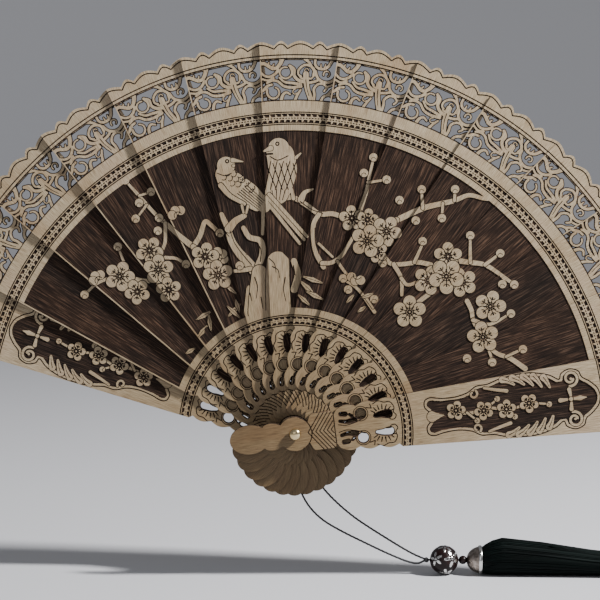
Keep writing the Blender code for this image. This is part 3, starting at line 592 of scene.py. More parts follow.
class Board:
    """A board's carving on a grid. `solid` is how far a point is inside the wood and `raised` how far it
    is inside the uncut surface: both are negative outside."""

    def __init__(self):
        self.u_axis = np.arange(-GRID_HALF_U, GRID_HALF_U + GRID_STEP, GRID_STEP)
        self.v_axis = np.arange(GRID_V[0], GRID_V[1] + GRID_STEP, GRID_STEP)
        self.u, self.v = np.meshgrid(self.u_axis, self.v_axis)
        self.radius = np.hypot(self.u, self.v)
        self.solid = np.full(self.u.shape, -FAR_INSIDE)
        self.raised = np.full(self.u.shape, FAR_INSIDE)

    def copy(self):
        made = Board()
        made.solid = self.solid.copy()
        made.raised = self.raised.copy()
        return made

    def segment_windows(self, points, widths):
        """For each segment of a line: its window on the grid and how far inside the stroke each cell is."""
        if len(points) == 1:
            points = [points[0], points[0]]
        if np.isscalar(widths):
            widths = (widths, widths)
        count = len(points) - 1
        for i in range(count):
            start, end = points[i], points[i + 1]
            first = widths[0] + (widths[1] - widths[0]) * i / count
            last = widths[0] + (widths[1] - widths[0]) * (i + 1) / count
            reach = max(first, last) / 2 + STROKE_REACH
            low_u, high_u = min(start[0], end[0]) - reach, max(start[0], end[0]) + reach
            low_v, high_v = min(start[1], end[1]) - reach, max(start[1], end[1]) + reach
            columns = slice(*np.searchsorted(self.u_axis, (low_u, high_u)))
            rows = slice(*np.searchsorted(self.v_axis, (low_v, high_v)))
            if columns.start == columns.stop or rows.start == rows.stop:
                continue
            u, v = self.u[rows, columns] - start[0], self.v[rows, columns] - start[1]
            along_u, along_v = end[0] - start[0], end[1] - start[1]
            length = along_u ** 2 + along_v ** 2
            part = np.clip((u * along_u + v * along_v) / length, 0, 1) if length > 0 else np.zeros_like(u)
            apart = np.hypot(u - part * along_u, v - part * along_v)
            yield (rows, columns), (first + (last - first) * part) / 2 - apart

    def add(self, field, points, widths):
        for window, inside in self.segment_windows(points, widths):
            np.maximum(field[window], inside, out=field[window])

    def cut(self, field, points, widths):
        for window, inside in self.segment_windows(points, widths):
            np.minimum(field[window], -inside, out=field[window])

    def engrave(self, points, widths):
        self.cut(self.raised, points, widths)

    def lay(self, points, widths, edge=OUTLINE_WIDTH):
        """A raised stroke with a burnt line round it, over whatever is there."""
        self.cut(self.raised, points, np.array(widths, float) + 2 * edge)
        self.add(self.raised, points, widths)

    def engrave_rings(self, radii, width):
        for radius in radii:
            np.minimum(self.raised, np.abs(self.radius - radius) - width / 2, out=self.raised)


def half_width(v):
    return HALF_WIDTH_AT_RIVET + v * EDGE_TAPER


def lobe_side(lobe, start, end):
    """Right-hand points of an elliptical lobe between two places along V."""
    centre, half_length, half_wide = lobe
    first = math.acos(max(-1.0, min(1.0, (start - centre) / half_length)))
    last = math.acos(max(-1.0, min(1.0, (end - centre) / half_length)))
    turns = [first + (last - first) * i / CURVE_POINTS for i in range(CURVE_POINTS + 1)]
    return [(half_wide * abs(math.sin(a)), centre + half_length * math.cos(a)) for a in turns]


def gorge_side():
    """Right-hand edge of the gorge: shallow scallops that meet in notches."""
    points = []
    step = (BLADE_START - GORGE_START) / GORGE_SCALLOPS
    for i in range(GORGE_SCALLOPS * CURVE_POINTS + 1):
        part = (i % CURVE_POINTS) / CURVE_POINTS
        v = GORGE_START + step * i / CURVE_POINTS
        points.append((half_width(v) - GORGE_NOTCH * (1.0 - math.sin(math.pi * part)), v))
    points.append((half_width(BLADE_START + GORGE_NOTCH), BLADE_START + GORGE_NOTCH))
    return points


def scallop_v(u):
    """V of the scalloped rim at U."""
    corner_half = half_width(RIM_RADIUS - RIM_CORNER_DROP)
    across = max(-1.0, min(1.0, u / corner_half))
    for low, high in zip(SCALLOP_ENDS, SCALLOP_ENDS[1:]):
        if across <= high:
            break
    part = (high - across) / (high - low)
    bulge = math.sin(math.pi * part)
    if high == SCALLOP_ENDS[-1]:
        bulge = math.cos(math.pi / 2 * part)
    if low == SCALLOP_ENDS[0]:
        bulge = math.cos(math.pi / 2 * (1.0 - part))
    return math.sqrt(RIM_RADIUS ** 2 - u ** 2) - RIM_NOTCH_DEPTH * (1.0 - bulge)


def outline():
    disc_top, disc_bottom, middle_bottom = LOBE_JOINTS
    tip = END_LOBE[0] - END_LOBE[1]
    right = lobe_side(END_LOBE, tip, middle_bottom)[1:]
    right += lobe_side(MIDDLE_LOBE, middle_bottom, disc_bottom)[1:]
    right += lobe_side(PIVOT_DISC, disc_bottom, disc_top)[1:]
    right += [(u, v) for v, u in HEEL_BLOCK]
    right += gorge_side()
    corner_half = half_width(RIM_RADIUS - RIM_CORNER_DROP)
    steps = 6 * CURVE_POINTS
    across = [corner_half * (1.0 - 2.0 * i / steps) for i in range(steps + 1)]
    left = [(-u, v) for u, v in reversed(right)]
    return [(0.0, tip)] + right + [(u, scallop_v(u)) for u in across] + left


def inside_polygon(board, polygon):
    """Which cells of the grid are inside a closed line."""
    inside = np.zeros(board.u.shape, bool)
    for (u0, v0), (u1, v1) in zip(polygon, polygon[1:] + polygon[:1]):
        if v0 == v1:
            continue
        rows = (board.v_axis > min(v0, v1)) & (board.v_axis <= max(v0, v1))
        cross_u = u0 + (board.v_axis[rows] - v0) * (u1 - u0) / (v1 - v0)
        inside[rows] ^= board.u_axis[None, :] < cross_u[:, None]
    return inside


def blank_board():
    """A board cut to the stick's outline, with the rivet's hole."""
    board = Board()
    edge = outline()
    near = np.full(board.u.shape, -FAR_INSIDE)
    board.add(near, edge + edge[:1], 0.0)
    inside = inside_polygon(board, edge)
    board.solid = np.where(inside, -near, near)
    board.cut(board.solid, [(0.0, 0.0)], 2 * RIVET_HOLE_RADIUS)
    return board


def pierce(board, wood, opening):
    """Opens an area of the board, leaving the wood strokes standing in it, with burnt rims."""
    left = np.maximum(wood, -opening)
    np.minimum(board.solid, left, out=board.solid)
    np.minimum(board.raised, left - BURN_WIDTH, out=board.raised)


def on_band(points):
    """Points given as (arc length at mid band, distance from the rivet) as (U, V)."""
    made = []
    for along, radius in points:
        angle = along / SCROLL_MID_RADIUS
        made.append((radius * math.sin(angle), radius * math.cos(angle)))
    return made


def carve_scroll_band(board):
    """The pierced scrollwork between the rim and the outer key border: wood strokes over an opening."""
    low, high = SCROLL_BAND
    opening = np.minimum(board.radius - low, high - board.radius)
    edge = half_width(board.v) - SCROLL_EDGE_MARGIN - np.abs(board.u)
    opening = np.minimum(opening, edge)
    wood = np.full(board.u.shape, -FAR_INSIDE)
    for points, widths in SCROLL_STROKES:
        board.add(wood, on_band(curve_points(points)), [width + SCROLL_EXTRA for width in widths])
    for centre, radius, start, end, end_radius, widths in SCROLL_SPIRALS:
        spiral = arc_points(centre, radius, start, end, 20, end_radius)
        board.add(wood, on_band(spiral), [width + SCROLL_EXTRA for width in widths])
    pierce(board, wood, opening)
    for points, widths in SCROLL_ENGRAVED:
        board.engrave(on_band(curve_points(points)), widths)


def carve_fret(board, band, pairs):
    """A key fret: upright and hanging T shapes standing in a dark ring, with a thin line each side."""
    low, high = band
    inside = np.minimum(board.radius - low, high - board.radius)
    np.minimum(board.raised, -inside, out=board.raised)
    for radius in (low + FRET_BORDER, high - FRET_BORDER):
        np.maximum(board.raised, FRET_LINE / 2 - np.abs(board.radius - radius), out=board.raised)
    middle = (low + high) / 2
    reach = (high - low) / 2 - 2 * FRET_BORDER
    pitch = math.radians(PITCH_DEG) / pairs
    sides = math.ceil(2 * half_width(middle) / (middle * pitch))
    for k in range(-sides, sides + 1):
        up = 1 if k % 2 else -1
        for line in FRET_SHAPE:
            points = []
            for along, across in line:
                angle = (k / 2 + along) * pitch
                radius = middle + up * across * reach
                points.append((radius * math.sin(angle), radius * math.cos(angle)))
            board.add(board.raised, points, FRET_STROKE)


def mirrored(points):
    return [(-u, v) for u, v in points]


def carve_heel(board):
    """Nested chevrons on the heel block and the line across its end."""
    half_wide, rise = CHEVRON_SIZE
    for i in range(CHEVRON_COUNT):
        tip = CHEVRON_START + CHEVRON_PITCH * i
        part = min(1.0, (CHEVRON_END - tip) / rise)
        for side in (1, -1):
            end = (side * half_wide * part, tip + rise * part)
            board.engrave([(0.0, tip), end], CHEVRON_WIDTH)
    board.engrave(HEEL_LINE, HEEL_LINE_WIDTH)
    ring = np.abs(board.radius - PIVOT_DISC[1]) - PIVOT_RING_WIDTH / 2
    ring[board.v < PIVOT_RING_START_V] = FAR_INSIDE
    np.minimum(board.raised, ring, out=board.raised)


def carve_gorge(board, petal_sides):
    """The pierced and engraved petals between the heel and the inner key border."""
    holes = np.full(board.u.shape, -FAR_INSIDE)
    petals = curve_points([(4.2, 41.2), (4.6, 44.2), (4.4, 47.6)])
    for turn in (list, mirrored):
        board.engrave(turn(petals), (2.2, 4.6))
    for turn in petal_sides:
        board.add(holes, turn(petals), (1.6, 4.0))
    for turn in (list, mirrored):
        board.add(holes, turn([(7.1, 24.0), (6.9, 26.2)]), (1.7, 1.9))
        board.add(holes, turn(curve_points([(3.6, 23.2), (3.0, 26.6), (3.6, 30.6)])), (1.0, 2.0))
        board.add(holes, turn([(6.1, 33.9)]), 5.2)
        board.add(holes, turn([(5.6, 29.2), (6.4, 28.4)]), (1.1, 0.8))
    pierce(board, -holes, holes)
    for turn in (list, mirrored):
        board.engrave(turn(arc_points((6.1, 33.9), 3.7, 0, 360, 24)), 0.4)
        board.engrave(turn(curve_points([(2.0, 22.0), (1.2, 26.0), (2.2, 31.2), (4.0, 35.8)])), (0.4, 0.5))
        for i in range(7):
            angle = math.radians(-62 + 22 * i)
            start = (4.6 + 2.6 * math.cos(angle), 44.6 + 4.2 * math.sin(angle))
            end = (4.6 + 4.9 * math.cos(angle), 44.6 + 6.2 * math.sin(angle))
            board.engrave(turn([start, end]), (0.75, 0.45))
        board.engrave(turn(curve_points(PETAL_TIP)), 0.5)
        board.engrave(turn([(8.8, 37.0), (8.2, 39.6), (10.4, 39.0)]), 0.5)


def common_board(petal_sides):
    """What every stick carries outside the picture."""
    board = blank_board()
    carve_scroll_band(board)
    corner_half = half_width(RIM_RADIUS)
    across = [corner_half * (2.0 * i / RIM_LINE_POINTS - 1.0) for i in range(RIM_LINE_POINTS + 1)]
    board.engrave([(u, scallop_v(u) - RIM_LINE_INSET) for u in across], LINE_WIDTH)
    board.engrave_rings(RIM_LINES, LINE_WIDTH)
    board.engrave_rings((SCROLL_BAND[0] - BURN_WIDTH,), BURN_WIDTH)
    carve_fret(board, OUTER_FRET, OUTER_FRET_PAIRS)
    carve_fret(board, INNER_FRET, INNER_FRET_PAIRS)
    carve_heel(board)
    carve_gorge(board, petal_sides)
    return board


class Picture:
    """Draws in the open fan's own frame, X to the right and Z up, on one board that lies at an angle."""

    def __init__(self, board, angle_deg):
        self.board = board
        self.cos = math.cos(math.radians(angle_deg))
        self.sin = math.sin(math.radians(angle_deg))

    def local(self, points):
        return [(x * self.cos - z * self.sin, x * self.sin + z * self.cos) for x, z in points]

    def lay(self, points, widths, edge=OUTLINE_WIDTH):
        self.board.lay(self.local(points), widths, edge)

    def engrave(self, points, widths):
        self.board.engrave(self.local(points), widths)

    def branch(self, points, start_width, end_width):
        self.lay(curve_points(points), (start_width, end_width))

    def bud(self, centre, size=4.2):
        """A round bud with a small notched cup."""
        self.lay([centre], (size, size))
        x, z = centre
        self.engrave(arc_points((x, z - size * 0.3), size * 0.3, 200, 20, 6), 0.3)

    def blossom(self, centre, size=13.5, turn_deg=90.0):
        """Five round petals, each outlined and hollowed, with stamens round a small eye."""
        x, z = centre
        size = size * BLOSSOM_SCALE
        petal = size * 0.4
        away = size * 0.33
        self.lay([centre], (size * 0.4, size * 0.4), 0.1)
        for i in range(5):
            turn = turn_deg + 72 * i
            angle = math.radians(turn)
            place = (x + away * math.cos(angle), z + away * math.sin(angle))
            self.lay([place], (petal, petal), 0.4)
            self.engrave(arc_points(place, petal * 0.24, turn + 115, turn + 245, 6), 0.5)
        for i in range(10):
            angle = math.radians(turn_deg + 36 * i)
            reach = size * (0.2 if i % 2 else 0.29)
            end = (x + reach * math.cos(angle), z + reach * math.sin(angle))
            self.engrave([centre, end], (0.75, 0.3))
            self.engrave([end], 0.9)
        self.lay([centre], (0.9, 0.9), 0.3)

    def half_blossom(self, centre, turn_deg, size=11.0):
        x, z = centre
        for i in range(3):
            angle = math.radians(turn_deg - 55 + 55 * i)
            place = (x + size * 0.27 * math.cos(angle), z + size * 0.27 * math.sin(angle))
            self.lay([place], (size * 0.42, size * 0.42), 0.32)
        self.engrave(arc_points(centre, size * 0.18, turn_deg - 90, turn_deg + 90, 8), 0.4)

    def leaf(self, start, end, width):
        """A long pointed leaf with a midrib."""
        middle = ((start[0] + end[0]) / 2, (start[1] + end[1]) / 2)
        self.lay([start, middle], (0.3, width))
        self.board.add(self.board.raised, self.local([middle, end]), (width, 0.2))
        self.engrave([start, end], 0.25)

    def feathers(self, starts, ends, count, width):
        """Engraved lines fanned from one line to another."""
        for i in range(count):
            part = i / (count - 1)
            start = tuple(a + (b - a) * part for a, b in zip(*starts))
            end = tuple(a + (b - a) * part for a, b in zip(*ends))
            self.engrave([start, end], (width, width * 0.6))

    def scales(self, corner, along, across, rows, columns, size):
        """Rows of small engraved arcs, staggered like feathers on a breast."""
        angle = math.degrees(math.atan2(along[1], along[0]))
        for row in range(rows):
            for column in range(columns):
                shift = column + 0.5 * (row % 2)
                spot = tuple(c + a * row + b * shift for c, a, b in zip(corner, along, across))
                self.engrave(arc_points(spot, size, angle - 85, angle + 85, 7), 0.42)

    def eye(self, centre):
        self.engrave([centre], 2.2)
        self.board.add(self.board.raised, self.local([centre]), 1.0)

    def left_bird(self):
        """A bird looking right, its folded wing and long tail running down to the right."""
        for start, end in (((-16.0, 112.0), (-16.4, 100.0)), ((-14.2, 116.4), (2.4, 95.2)),
                           ((-14.0, 118.8), (4.6, 97.2)), ((-13.0, 120.0), (6.0, 98.8))):
            self.lay([start, end], (1.9, 1.5), 0.32)
        body = [(-35.6, 130.0), (-33.6, 124.0), (-27.0, 118.6), (-19.4, 114.0)]
        back = [(-33.6, 129.0), (-28.0, 125.4), (-21.6, 121.0), (-15.6, 114.0)]
        self.lay(curve_points(body), (9.0, 5.0), 0.3)
        self.lay(curve_points(back), (8.6, 6.4), 0.05)
        self.lay(curve_points([(-37.4, 124.4), (-33.0, 119.4), (-25.6, 115.2)]), (2.6, 1.8), 0.42)
        self.scales((-36.0, 128.6), (2.1, -1.5), (1.9, 2.1), 4, 3, 1.5)
        self.scales((-27.6, 127.4), (2.6, -2.6), (0.9, 1.1), 3, 2, 1.3)
        self.feathers(((-29.0, 120.4), (-24.4, 124.6)), ((-18.6, 112.4), (-15.4, 116.6)), 6, 0.5)
        self.lay([(-34.8, 134.4)], (9.0, 9.0), 0.0)
        self.engrave(curve_points([(-39.2, 130.6), (-35.6, 129.4), (-32.0, 130.6)]), 0.45)
        self.lay([(-31.4, 137.2), (-26.2, 136.4)], (2.2, 0.5), 0.3)
        self.lay([(-31.0, 134.4)], (1.5, 1.5), 0.3)
        self.eye((-34.2, 136.6))
        for leg in ([(-26.8, 114.4), (-26.0, 110.8)], [(-23.8, 114.0), (-24.6, 110.6)]):
            self.lay(leg, (1.3, 1.1), 0.3)

    def right_bird(self):
        """A plump bird looking left, with a lattice of feathers."""
        self.lay(curve_points([(-8.4, 141.0), (-7.4, 132.0), (-9.0, 121.0)]), (12.0, 12.0), 0.32)
        self.lay(curve_points([(-6.0, 140.0), (-4.6, 132.0), (-7.4, 123.0)]), (11.0, 11.0), 0.0)
        self.lay([(0.4, 138.4), (2.8, 140.6)], (1.6, 0.8), 0.2)
        for i in range(5):
            self.engrave([(-14.6 + 3.4 * i, 135.6), (-9.4 + 3.0 * i, 122.4)], 0.5)
            self.engrave([(0.6 - 3.2 * i, 136.6), (-4.6 - 2.6 * i, 122.4)], 0.5)
        self.feathers(((-11.6, 122.0), (-5.0, 122.0)), ((-11.0, 117.0), (-6.4, 117.0)), 4, 0.5)
        self.lay([(-8.2, 143.0)], (10.6, 10.6), 0.0)
        self.engrave(curve_points([(-12.6, 139.0), (-8.6, 137.2), (-3.4, 139.4)]), 0.5)
        self.lay([(-12.2, 143.2), (-15.8, 141.6)], (2.6, 0.8), 0.3)
        self.engrave([(-11.4, 140.4), (-14.8, 140.2)], 0.9)
        self.eye((-8.9, 145.4))

def draw_picture(picture):
    for points, start_width, end_width in BRANCHES:
        picture.branch(points, start_width, end_width)
    for points in BARK_LINES:
        picture.engrave(curve_points(points), BARK_WIDTHS)
    for start, end, width in LEAVES:
        picture.leaf(start, end, width)
    for points, widths in ROCKS:
        picture.lay(curve_points(points), widths, ROCK_OUTLINE)
    for points in ROCK_CRACKS:
        picture.engrave(curve_points(points), CRACK_WIDTHS)
    for centre in BUDS:
        picture.bud(centre)
    for centre, turn in HALF_BLOSSOMS:
        picture.half_blossom(centre, turn)
    for centre, size, turn in BLOSSOMS:
        picture.blossom(centre, size, turn)
    picture.right_bird()
    picture.left_bird()


def carve_field(board, highlight_strip):
    """The dark, cut-back field between the two key borders, burnt into the wood; given a width, it stops short of each
    edge and leaves a pale strip there, a painted highlight for the lit edge wall.
    """
    inside = np.minimum(board.radius - FIELD[0], FIELD[1] - board.radius)
    if highlight_strip:
        inside = np.minimum(inside, half_width(board.v) - highlight_strip - np.abs(board.u))
    np.minimum(board.raised, -inside, out=board.raised)


def stick_board(common, angle_deg):
    board = common.copy()
    # Only sticks on the left of the open fan keep a pale strip along their edges: painted highlight, where the light
    # from the right catches their edge walls.
    carve_field(board, PAINTED_EDGE_HIGHLIGHT if angle_deg < PAINTED_EDGE_HIGHLIGHT_BELOW_DEG else 0.0)
    border = board.raised.copy()
    draw_picture(Picture(board, angle_deg))
    outside = (board.radius < FIELD[0]) | (board.radius > FIELD[1])
    board.raised[outside] = border[outside]
    return board


def carve_cartouche(board):
    """The framed panel on a guard: a dark field in a raised frame with scrolls, sprays and a plum sprig."""
    side = curve_points(CARTOUCHE_SIDE)
    edge = side + mirrored(side[::-1])[1:]
    near = np.full(board.u.shape, -FAR_INSIDE)
    board.add(near, edge, 0.0)
    within = np.where(inside_polygon(board, edge[:-1]), -near, near)
    board.engrave(edge, 0.6)
    np.minimum(board.raised, CARTOUCHE_FRAME - within, out=board.raised)
    for turn in (list, mirrored):
        board.lay(turn(arc_points((10.4, 140.4), 4.0, 190, -250, 26, 1.5)), (1.3, 1.1))
        board.add(board.raised, turn([(10.2, 140.6)]), 1.3)
        board.lay(turn(arc_points((8.6, 91.2), 2.2, 40, 330, 14, 1.0)), (1.1, 0.9))
        board.lay(turn(curve_points([(11.0, 97.0), (9.6, 102.0), (8.2, 108.0)])), (1.2, 1.8))
        for start, end in LEAF_SPRAY:
            middle = ((start[0] + end[0]) / 2 + 0.5, (start[1] + end[1]) / 2)
            leaf = turn(curve_points([start, middle, end], 4))
            board.lay(leaf, (3.4, 1.3), 0.25)
            board.engrave(leaf, (0.45, 0.2))
        board.lay(turn([(1.6, 139.6), (5.0, 139.2)]), (1.2, 2.0))
    board.lay([(0.0, 140.6), (0.0, 144.4)], (1.2, 2.4))
    board.add(board.raised, [(0.0, 144.0), (0.0, 147.4)], (2.4, 0.4))
    board.lay([(0.0, 137.6), (0.0, 134.2)], (1.2, 2.2))
    board.lay([(0.0, 139.6)], (2.0, 2.0))
    board.lay([(0.0, 69.6), (0.0, 72.0)], (5.6, 3.0))
    board.add(board.raised, [(0.0, 71.0), (0.0, 75.4)], (3.2, 0.4))
    carve_sprig(board)


def carve_sprig(board):
    """A generic plum sprig along the middle of the panel."""
    sprig = Picture(board, 0.0)
    sprig.branch(SPRIG_STEM, 1.8, 1.0)
    for twig in (((0.2, 87.0), (4.2, 91.0)), ((-0.6, 97.0), (-4.2, 102.0)), ((0.9, 106.0), (4.6, 110.0))):
        sprig.branch(twig, 1.2, 0.9)
    for centre in ((4.8, 91.6), (-4.8, 102.8), (5.2, 110.6), (1.2, 128.4)):
        sprig.bud(centre, 2.8)
    for centre, turn in (((-1.6, 81.6), 90), ((0.2, 95.4), 60), ((1.0, 106.8), 100), ((-0.6, 118.4), 70)):
        sprig.blossom(centre, 8.2, turn)


def trace(field, board):
    """The zero line of a field, as points and the pairs of points that it joins."""
    inside = field > 0
    rows, columns = field.shape
    across_id = np.full((rows, columns), -1)
    up_id = np.full((rows, columns), -1)
    row, column = np.nonzero(inside[:, :-1] != inside[:, 1:])
    a, b = field[row, column], field[row, column + 1]
    points = [np.stack([board.u_axis[column] + GRID_STEP * a / (a - b), board.v_axis[row]], 1)]
    across_id[row, column] = np.arange(len(row))
    row, column = np.nonzero(inside[:-1] != inside[1:])
    a, b = field[row, column], field[row + 1, column]
    points.append(np.stack([board.u_axis[column], board.v_axis[row] + GRID_STEP * a / (a - b)], 1))
    up_id[row, column] = len(points[0]) + np.arange(len(row))
    sides = (across_id[:-1, :-1], up_id[:-1, 1:], across_id[1:, :-1], up_id[:-1, :-1])
    case = inside[:-1, :-1] + 2 * inside[:-1, 1:] + 4 * inside[1:, 1:] + 8 * inside[1:, :-1]
    pairs = []
    for number, links in TRACE_CASES.items():
        cells = case == number
        for start, end in links:
            pairs.append(np.stack([sides[start][cells], sides[end][cells]], 1))
    return np.concatenate(points), np.concatenate(pairs)


def simplified_loops(points, pairs):
    """The traced line as closed loops of points, with those that lie on a straight run left out."""
    following = dict(zip(pairs[:, 0].tolist(), pairs[:, 1].tolist()))
    loops = []
    while following:
        start, here = following.popitem()
        loop = [start]
        while here != start and here in following:
            loop.append(here)
            here = following.pop(here)
        loops.append(points[loop])
    return [loop for loop in map(thinned, loops) if len(loop) >= 4]


def thinned(loop):
    for _ in range(TRACE_ROUNDS):
        if len(loop) < 8:
            return loop
        before, after = np.roll(loop, 1, 0), np.roll(loop, -1, 0)
        chord = after - before
        length = np.hypot(chord[:, 0], chord[:, 1]) + 1e-9
        off = loop - before
        gap = np.abs(chord[:, 0] * off[:, 1] - chord[:, 1] * off[:, 0]) / length
        drop = gap < TRACE_TOLERANCE
        drop[::2] = False
        loop = loop[~drop]
    return loop


def sampled(field, board, points):
    """The field's values at points between the cells."""
    u = np.clip((points[:, 0] - board.u_axis[0]) / GRID_STEP, 0, field.shape[1] - 1.001)
    v = np.clip((points[:, 1] - board.v_axis[0]) / GRID_STEP, 0, field.shape[0] - 1.001)
    column, row = u.astype(int), v.astype(int)
    u, v = u - column, v - row
    low = field[row, column] * (1 - u) + field[row, column + 1] * u
    high = field[row + 1, column] * (1 - u) + field[row + 1, column + 1] * u
    return low * (1 - v) + high * v


def triangulated(board):
    """Points, triangles and each triangle's level: 0 open, 1 raised, 2 engraved."""
    coordinates, edges = [], []
    for field in (board.solid, board.raised):
        for loop in simplified_loops(*trace(field, board)):
            first = len(coordinates)
            coordinates += [Vector(point) for point in loop.tolist()]
            edges += [(first + i, first + (i + 1) % len(loop)) for i in range(len(loop))]
    made = delaunay_2d_cdt(coordinates, edges, [], 0, 1e-4, False)
    points = np.array([tuple(point) for point in made[0]])
    triangles = np.array([tuple(face) for face in made[2]])
    a, b, c = (points[triangles[:, i]] for i in range(3))
    turned = (b[:, 0] - a[:, 0]) * (c[:, 1] - a[:, 1]) - (b[:, 1] - a[:, 1]) * (c[:, 0] - a[:, 0])
    triangles[turned < 0] = triangles[turned < 0][:, ::-1]
    centres = points[triangles].mean(axis=1)
    level = np.where(sampled(board.raised, board, centres) > 0, 1, 2)
    level[sampled(board.solid, board, centres) <= 0] = 0
    return points, triangles, level


def wall_quads(triangles, level):
    """Directed edges where a triangle stands in front of its neighbour, with the two levels."""
    edges = np.concatenate([triangles[:, [0, 1]], triangles[:, [1, 2]], triangles[:, [2, 0]]])
    owner = np.tile(level, 3)
    known = {tuple(edge): here for edge, here in zip(edges.tolist(), owner.tolist())}
    walls = []
    for (start, end), here in known.items():
        beyond = known.get((end, start), 0)
        if here == 1 and beyond != 1:
            walls.append((start, end, 1, 2 if beyond == 2 else 3))
        elif here == 2 and beyond == 0:
            walls.append((start, end, 2, 3))
    return np.array(walls)


def relief_mesh(name, board, thickness, layer):
    """The carved board as a closed mesh: its front faces -Y, U is X and V is Z."""
    points, triangles, level = triangulated(board)
    walls = wall_quads(triangles, level)
    count = len(points)
    heights = {1: -thickness / 2, 2: -thickness / 2 + ENGRAVE_DEPTH, 3: thickness / 2}
    placed = np.concatenate([
        np.stack([points[:, 0], np.full(count, heights[height]), points[:, 1]], 1) for height in (1, 2, 3)
    ])
    front = triangles[level > 0] + (level[level > 0] - 1)[:, None] * count
    back = triangles[level > 0][:, ::-1] + 2 * count
    start, end, top, bottom = walls.T
    quads = np.stack([
        start + (top - 1) * count, start + (bottom - 1) * count,
        end + (bottom - 1) * count, end + (top - 1) * count,
    ], 1)
    faces = front.tolist() + back.tolist() + quads.tolist()
    finish = np.concatenate([level[level > 0] - 1, np.zeros(len(back), int), np.ones(len(quads), int)])
    used = np.zeros(len(placed), bool)
    for part in (front, back, quads):
        used[part.ravel()] = True
    renumbered = np.cumsum(used) - 1
    faces = [[int(renumbered[i]) for i in face] for face in faces]
    mesh = bpy.data.meshes.new(name)
    mesh.from_pydata((placed[used] * MM).tolist(), [], faces)
    mesh.polygons.foreach_set("material_index", finish.astype(np.int32))
    add_grain_map(mesh, layer)
    return mesh


def add_grain_map(mesh, layer):
    """Coordinates that run with the grain, shifted for each stick so that no two look alike."""
    grain = mesh.uv_layers.new(name="grain")
    corners = np.empty(len(mesh.loops), np.int32)
    mesh.loops.foreach_get("vertex_index", corners)
    places = np.empty(len(mesh.vertices) * 3, np.float32)
    mesh.vertices.foreach_get("co", places)
    places = places.reshape(-1, 3)[corners]
    places = places * GRAIN_SCALE
    shift = GRAIN_SHIFT * (layer + 1)
    grain.data.foreach_set("uv", np.stack([places[:, 0] + shift, places[:, 2]], 1).ravel())


def new_material(name, roughness, metallic=0.0):
    material = bpy.data.materials.new(name)
    material.use_nodes = True
    shader = material.node_tree.nodes["Principled BSDF"]
    shader.inputs["Roughness"].default_value = roughness
    shader.inputs["Metallic"].default_value = metallic
    return material, material.node_tree, shader


def streaks(tree, scale, stretch, detail=6.0, grain=True):
    """Noise drawn out along the grain, or along the piece's own length."""
    coordinates = tree.nodes.new("ShaderNodeUVMap" if grain else "ShaderNodeTexCoord")
    if grain:
        coordinates.uv_map = "grain"
    mapping = tree.nodes.new("ShaderNodeMapping")
    mapping.inputs["Scale"].default_value = stretch
    tree.links.new(coordinates.outputs["UV" if grain else "Object"], mapping.inputs["Vector"])
    texture = tree.nodes.new("ShaderNodeTexNoise")
    texture.inputs["Scale"].default_value = scale
    texture.inputs["Detail"].default_value = detail
    texture.inputs["Roughness"].default_value = 0.62
    tree.links.new(mapping.outputs["Vector"], texture.inputs["Vector"])
    return texture.outputs["Fac"]


def ramp(tree, factor, stops):
    node = tree.nodes.new("ShaderNodeValToRGB")
    while len(node.color_ramp.elements) < len(stops):
        node.color_ramp.elements.new(0.5)
    for element, (place, colour) in zip(node.color_ramp.elements, stops):
        element.position = place
        element.color = (*colour, 1.0)
    tree.links.new(factor, node.inputs["Fac"])
    return node.outputs["Color"]


def mixed(tree, first, second, amount, blend="MIX"):
    node = tree.nodes.new("ShaderNodeMix")
    node.data_type = "RGBA"
    node.blend_type = blend
    node.inputs["Factor"].default_value = amount
    tree.links.new(first, node.inputs["A"])
    tree.links.new(second, node.inputs["B"])
    return node.outputs["Result"]


def pale_wood():
    """Polished sandalwood: cream, with fine darker grain and slow pinkish and tan clouds, darkened towards the rivet
    by painted shade.
    """
    material, tree, shader = new_material("sandalwood_surface", 0.5)
    fine = ramp(tree, streaks(tree, 9.0, (34.0, 1.5, 1.0)), (
        (0.28, (0.24, 0.17, 0.105)), (0.44, (0.49, 0.39, 0.265)), (0.62, (0.74, 0.625, 0.465)),
    ))
    clouds = ramp(tree, streaks(tree, 2.2, (2.6, 0.9, 1.0), 3.0), (
        (0.34, (0.83, 0.72, 0.60)), (0.5, (1.0, 0.97, 0.90)), (0.66, (1.0, 0.92, 0.88)),
    ))
    toned = mixed(tree, fine, clouds, 0.85, "MULTIPLY")
    # The wood's colour is multiplied by painted shade that darkens it towards the rivet.
    tree.links.new(mixed(tree, toned, painted_rivet_shade(tree), 1.0, "MULTIPLY"), shader.inputs["Base Color"])
    return material


def painted_rivet_shade(tree):
    """Darker, warmer colour towards the rivet: painted shade, standing for the dim light round the rivet and the
    tails.
    """
    coordinates = tree.nodes.new("ShaderNodeUVMap")
    coordinates.uv_map = "grain"
    parts = tree.nodes.new("ShaderNodeSeparateXYZ")
    tree.links.new(coordinates.outputs["UV"], parts.inputs["Vector"])
    along = tree.nodes.new("ShaderNodeMapRange")
    along.inputs["From Min"].default_value = RIVET_SHADE_FROM
    along.inputs["From Max"].default_value = RIVET_SHADE_TO
    tree.links.new(parts.outputs["Y"], along.inputs["Value"])
    return ramp(tree, along.outputs["Result"], (
        (0.0, (0.36, 0.29, 0.20)), (0.16, (0.50, 0.42, 0.31)),
        (0.36, (0.72, 0.66, 0.56)), (0.7, (0.98, 0.96, 0.92)),
    ))


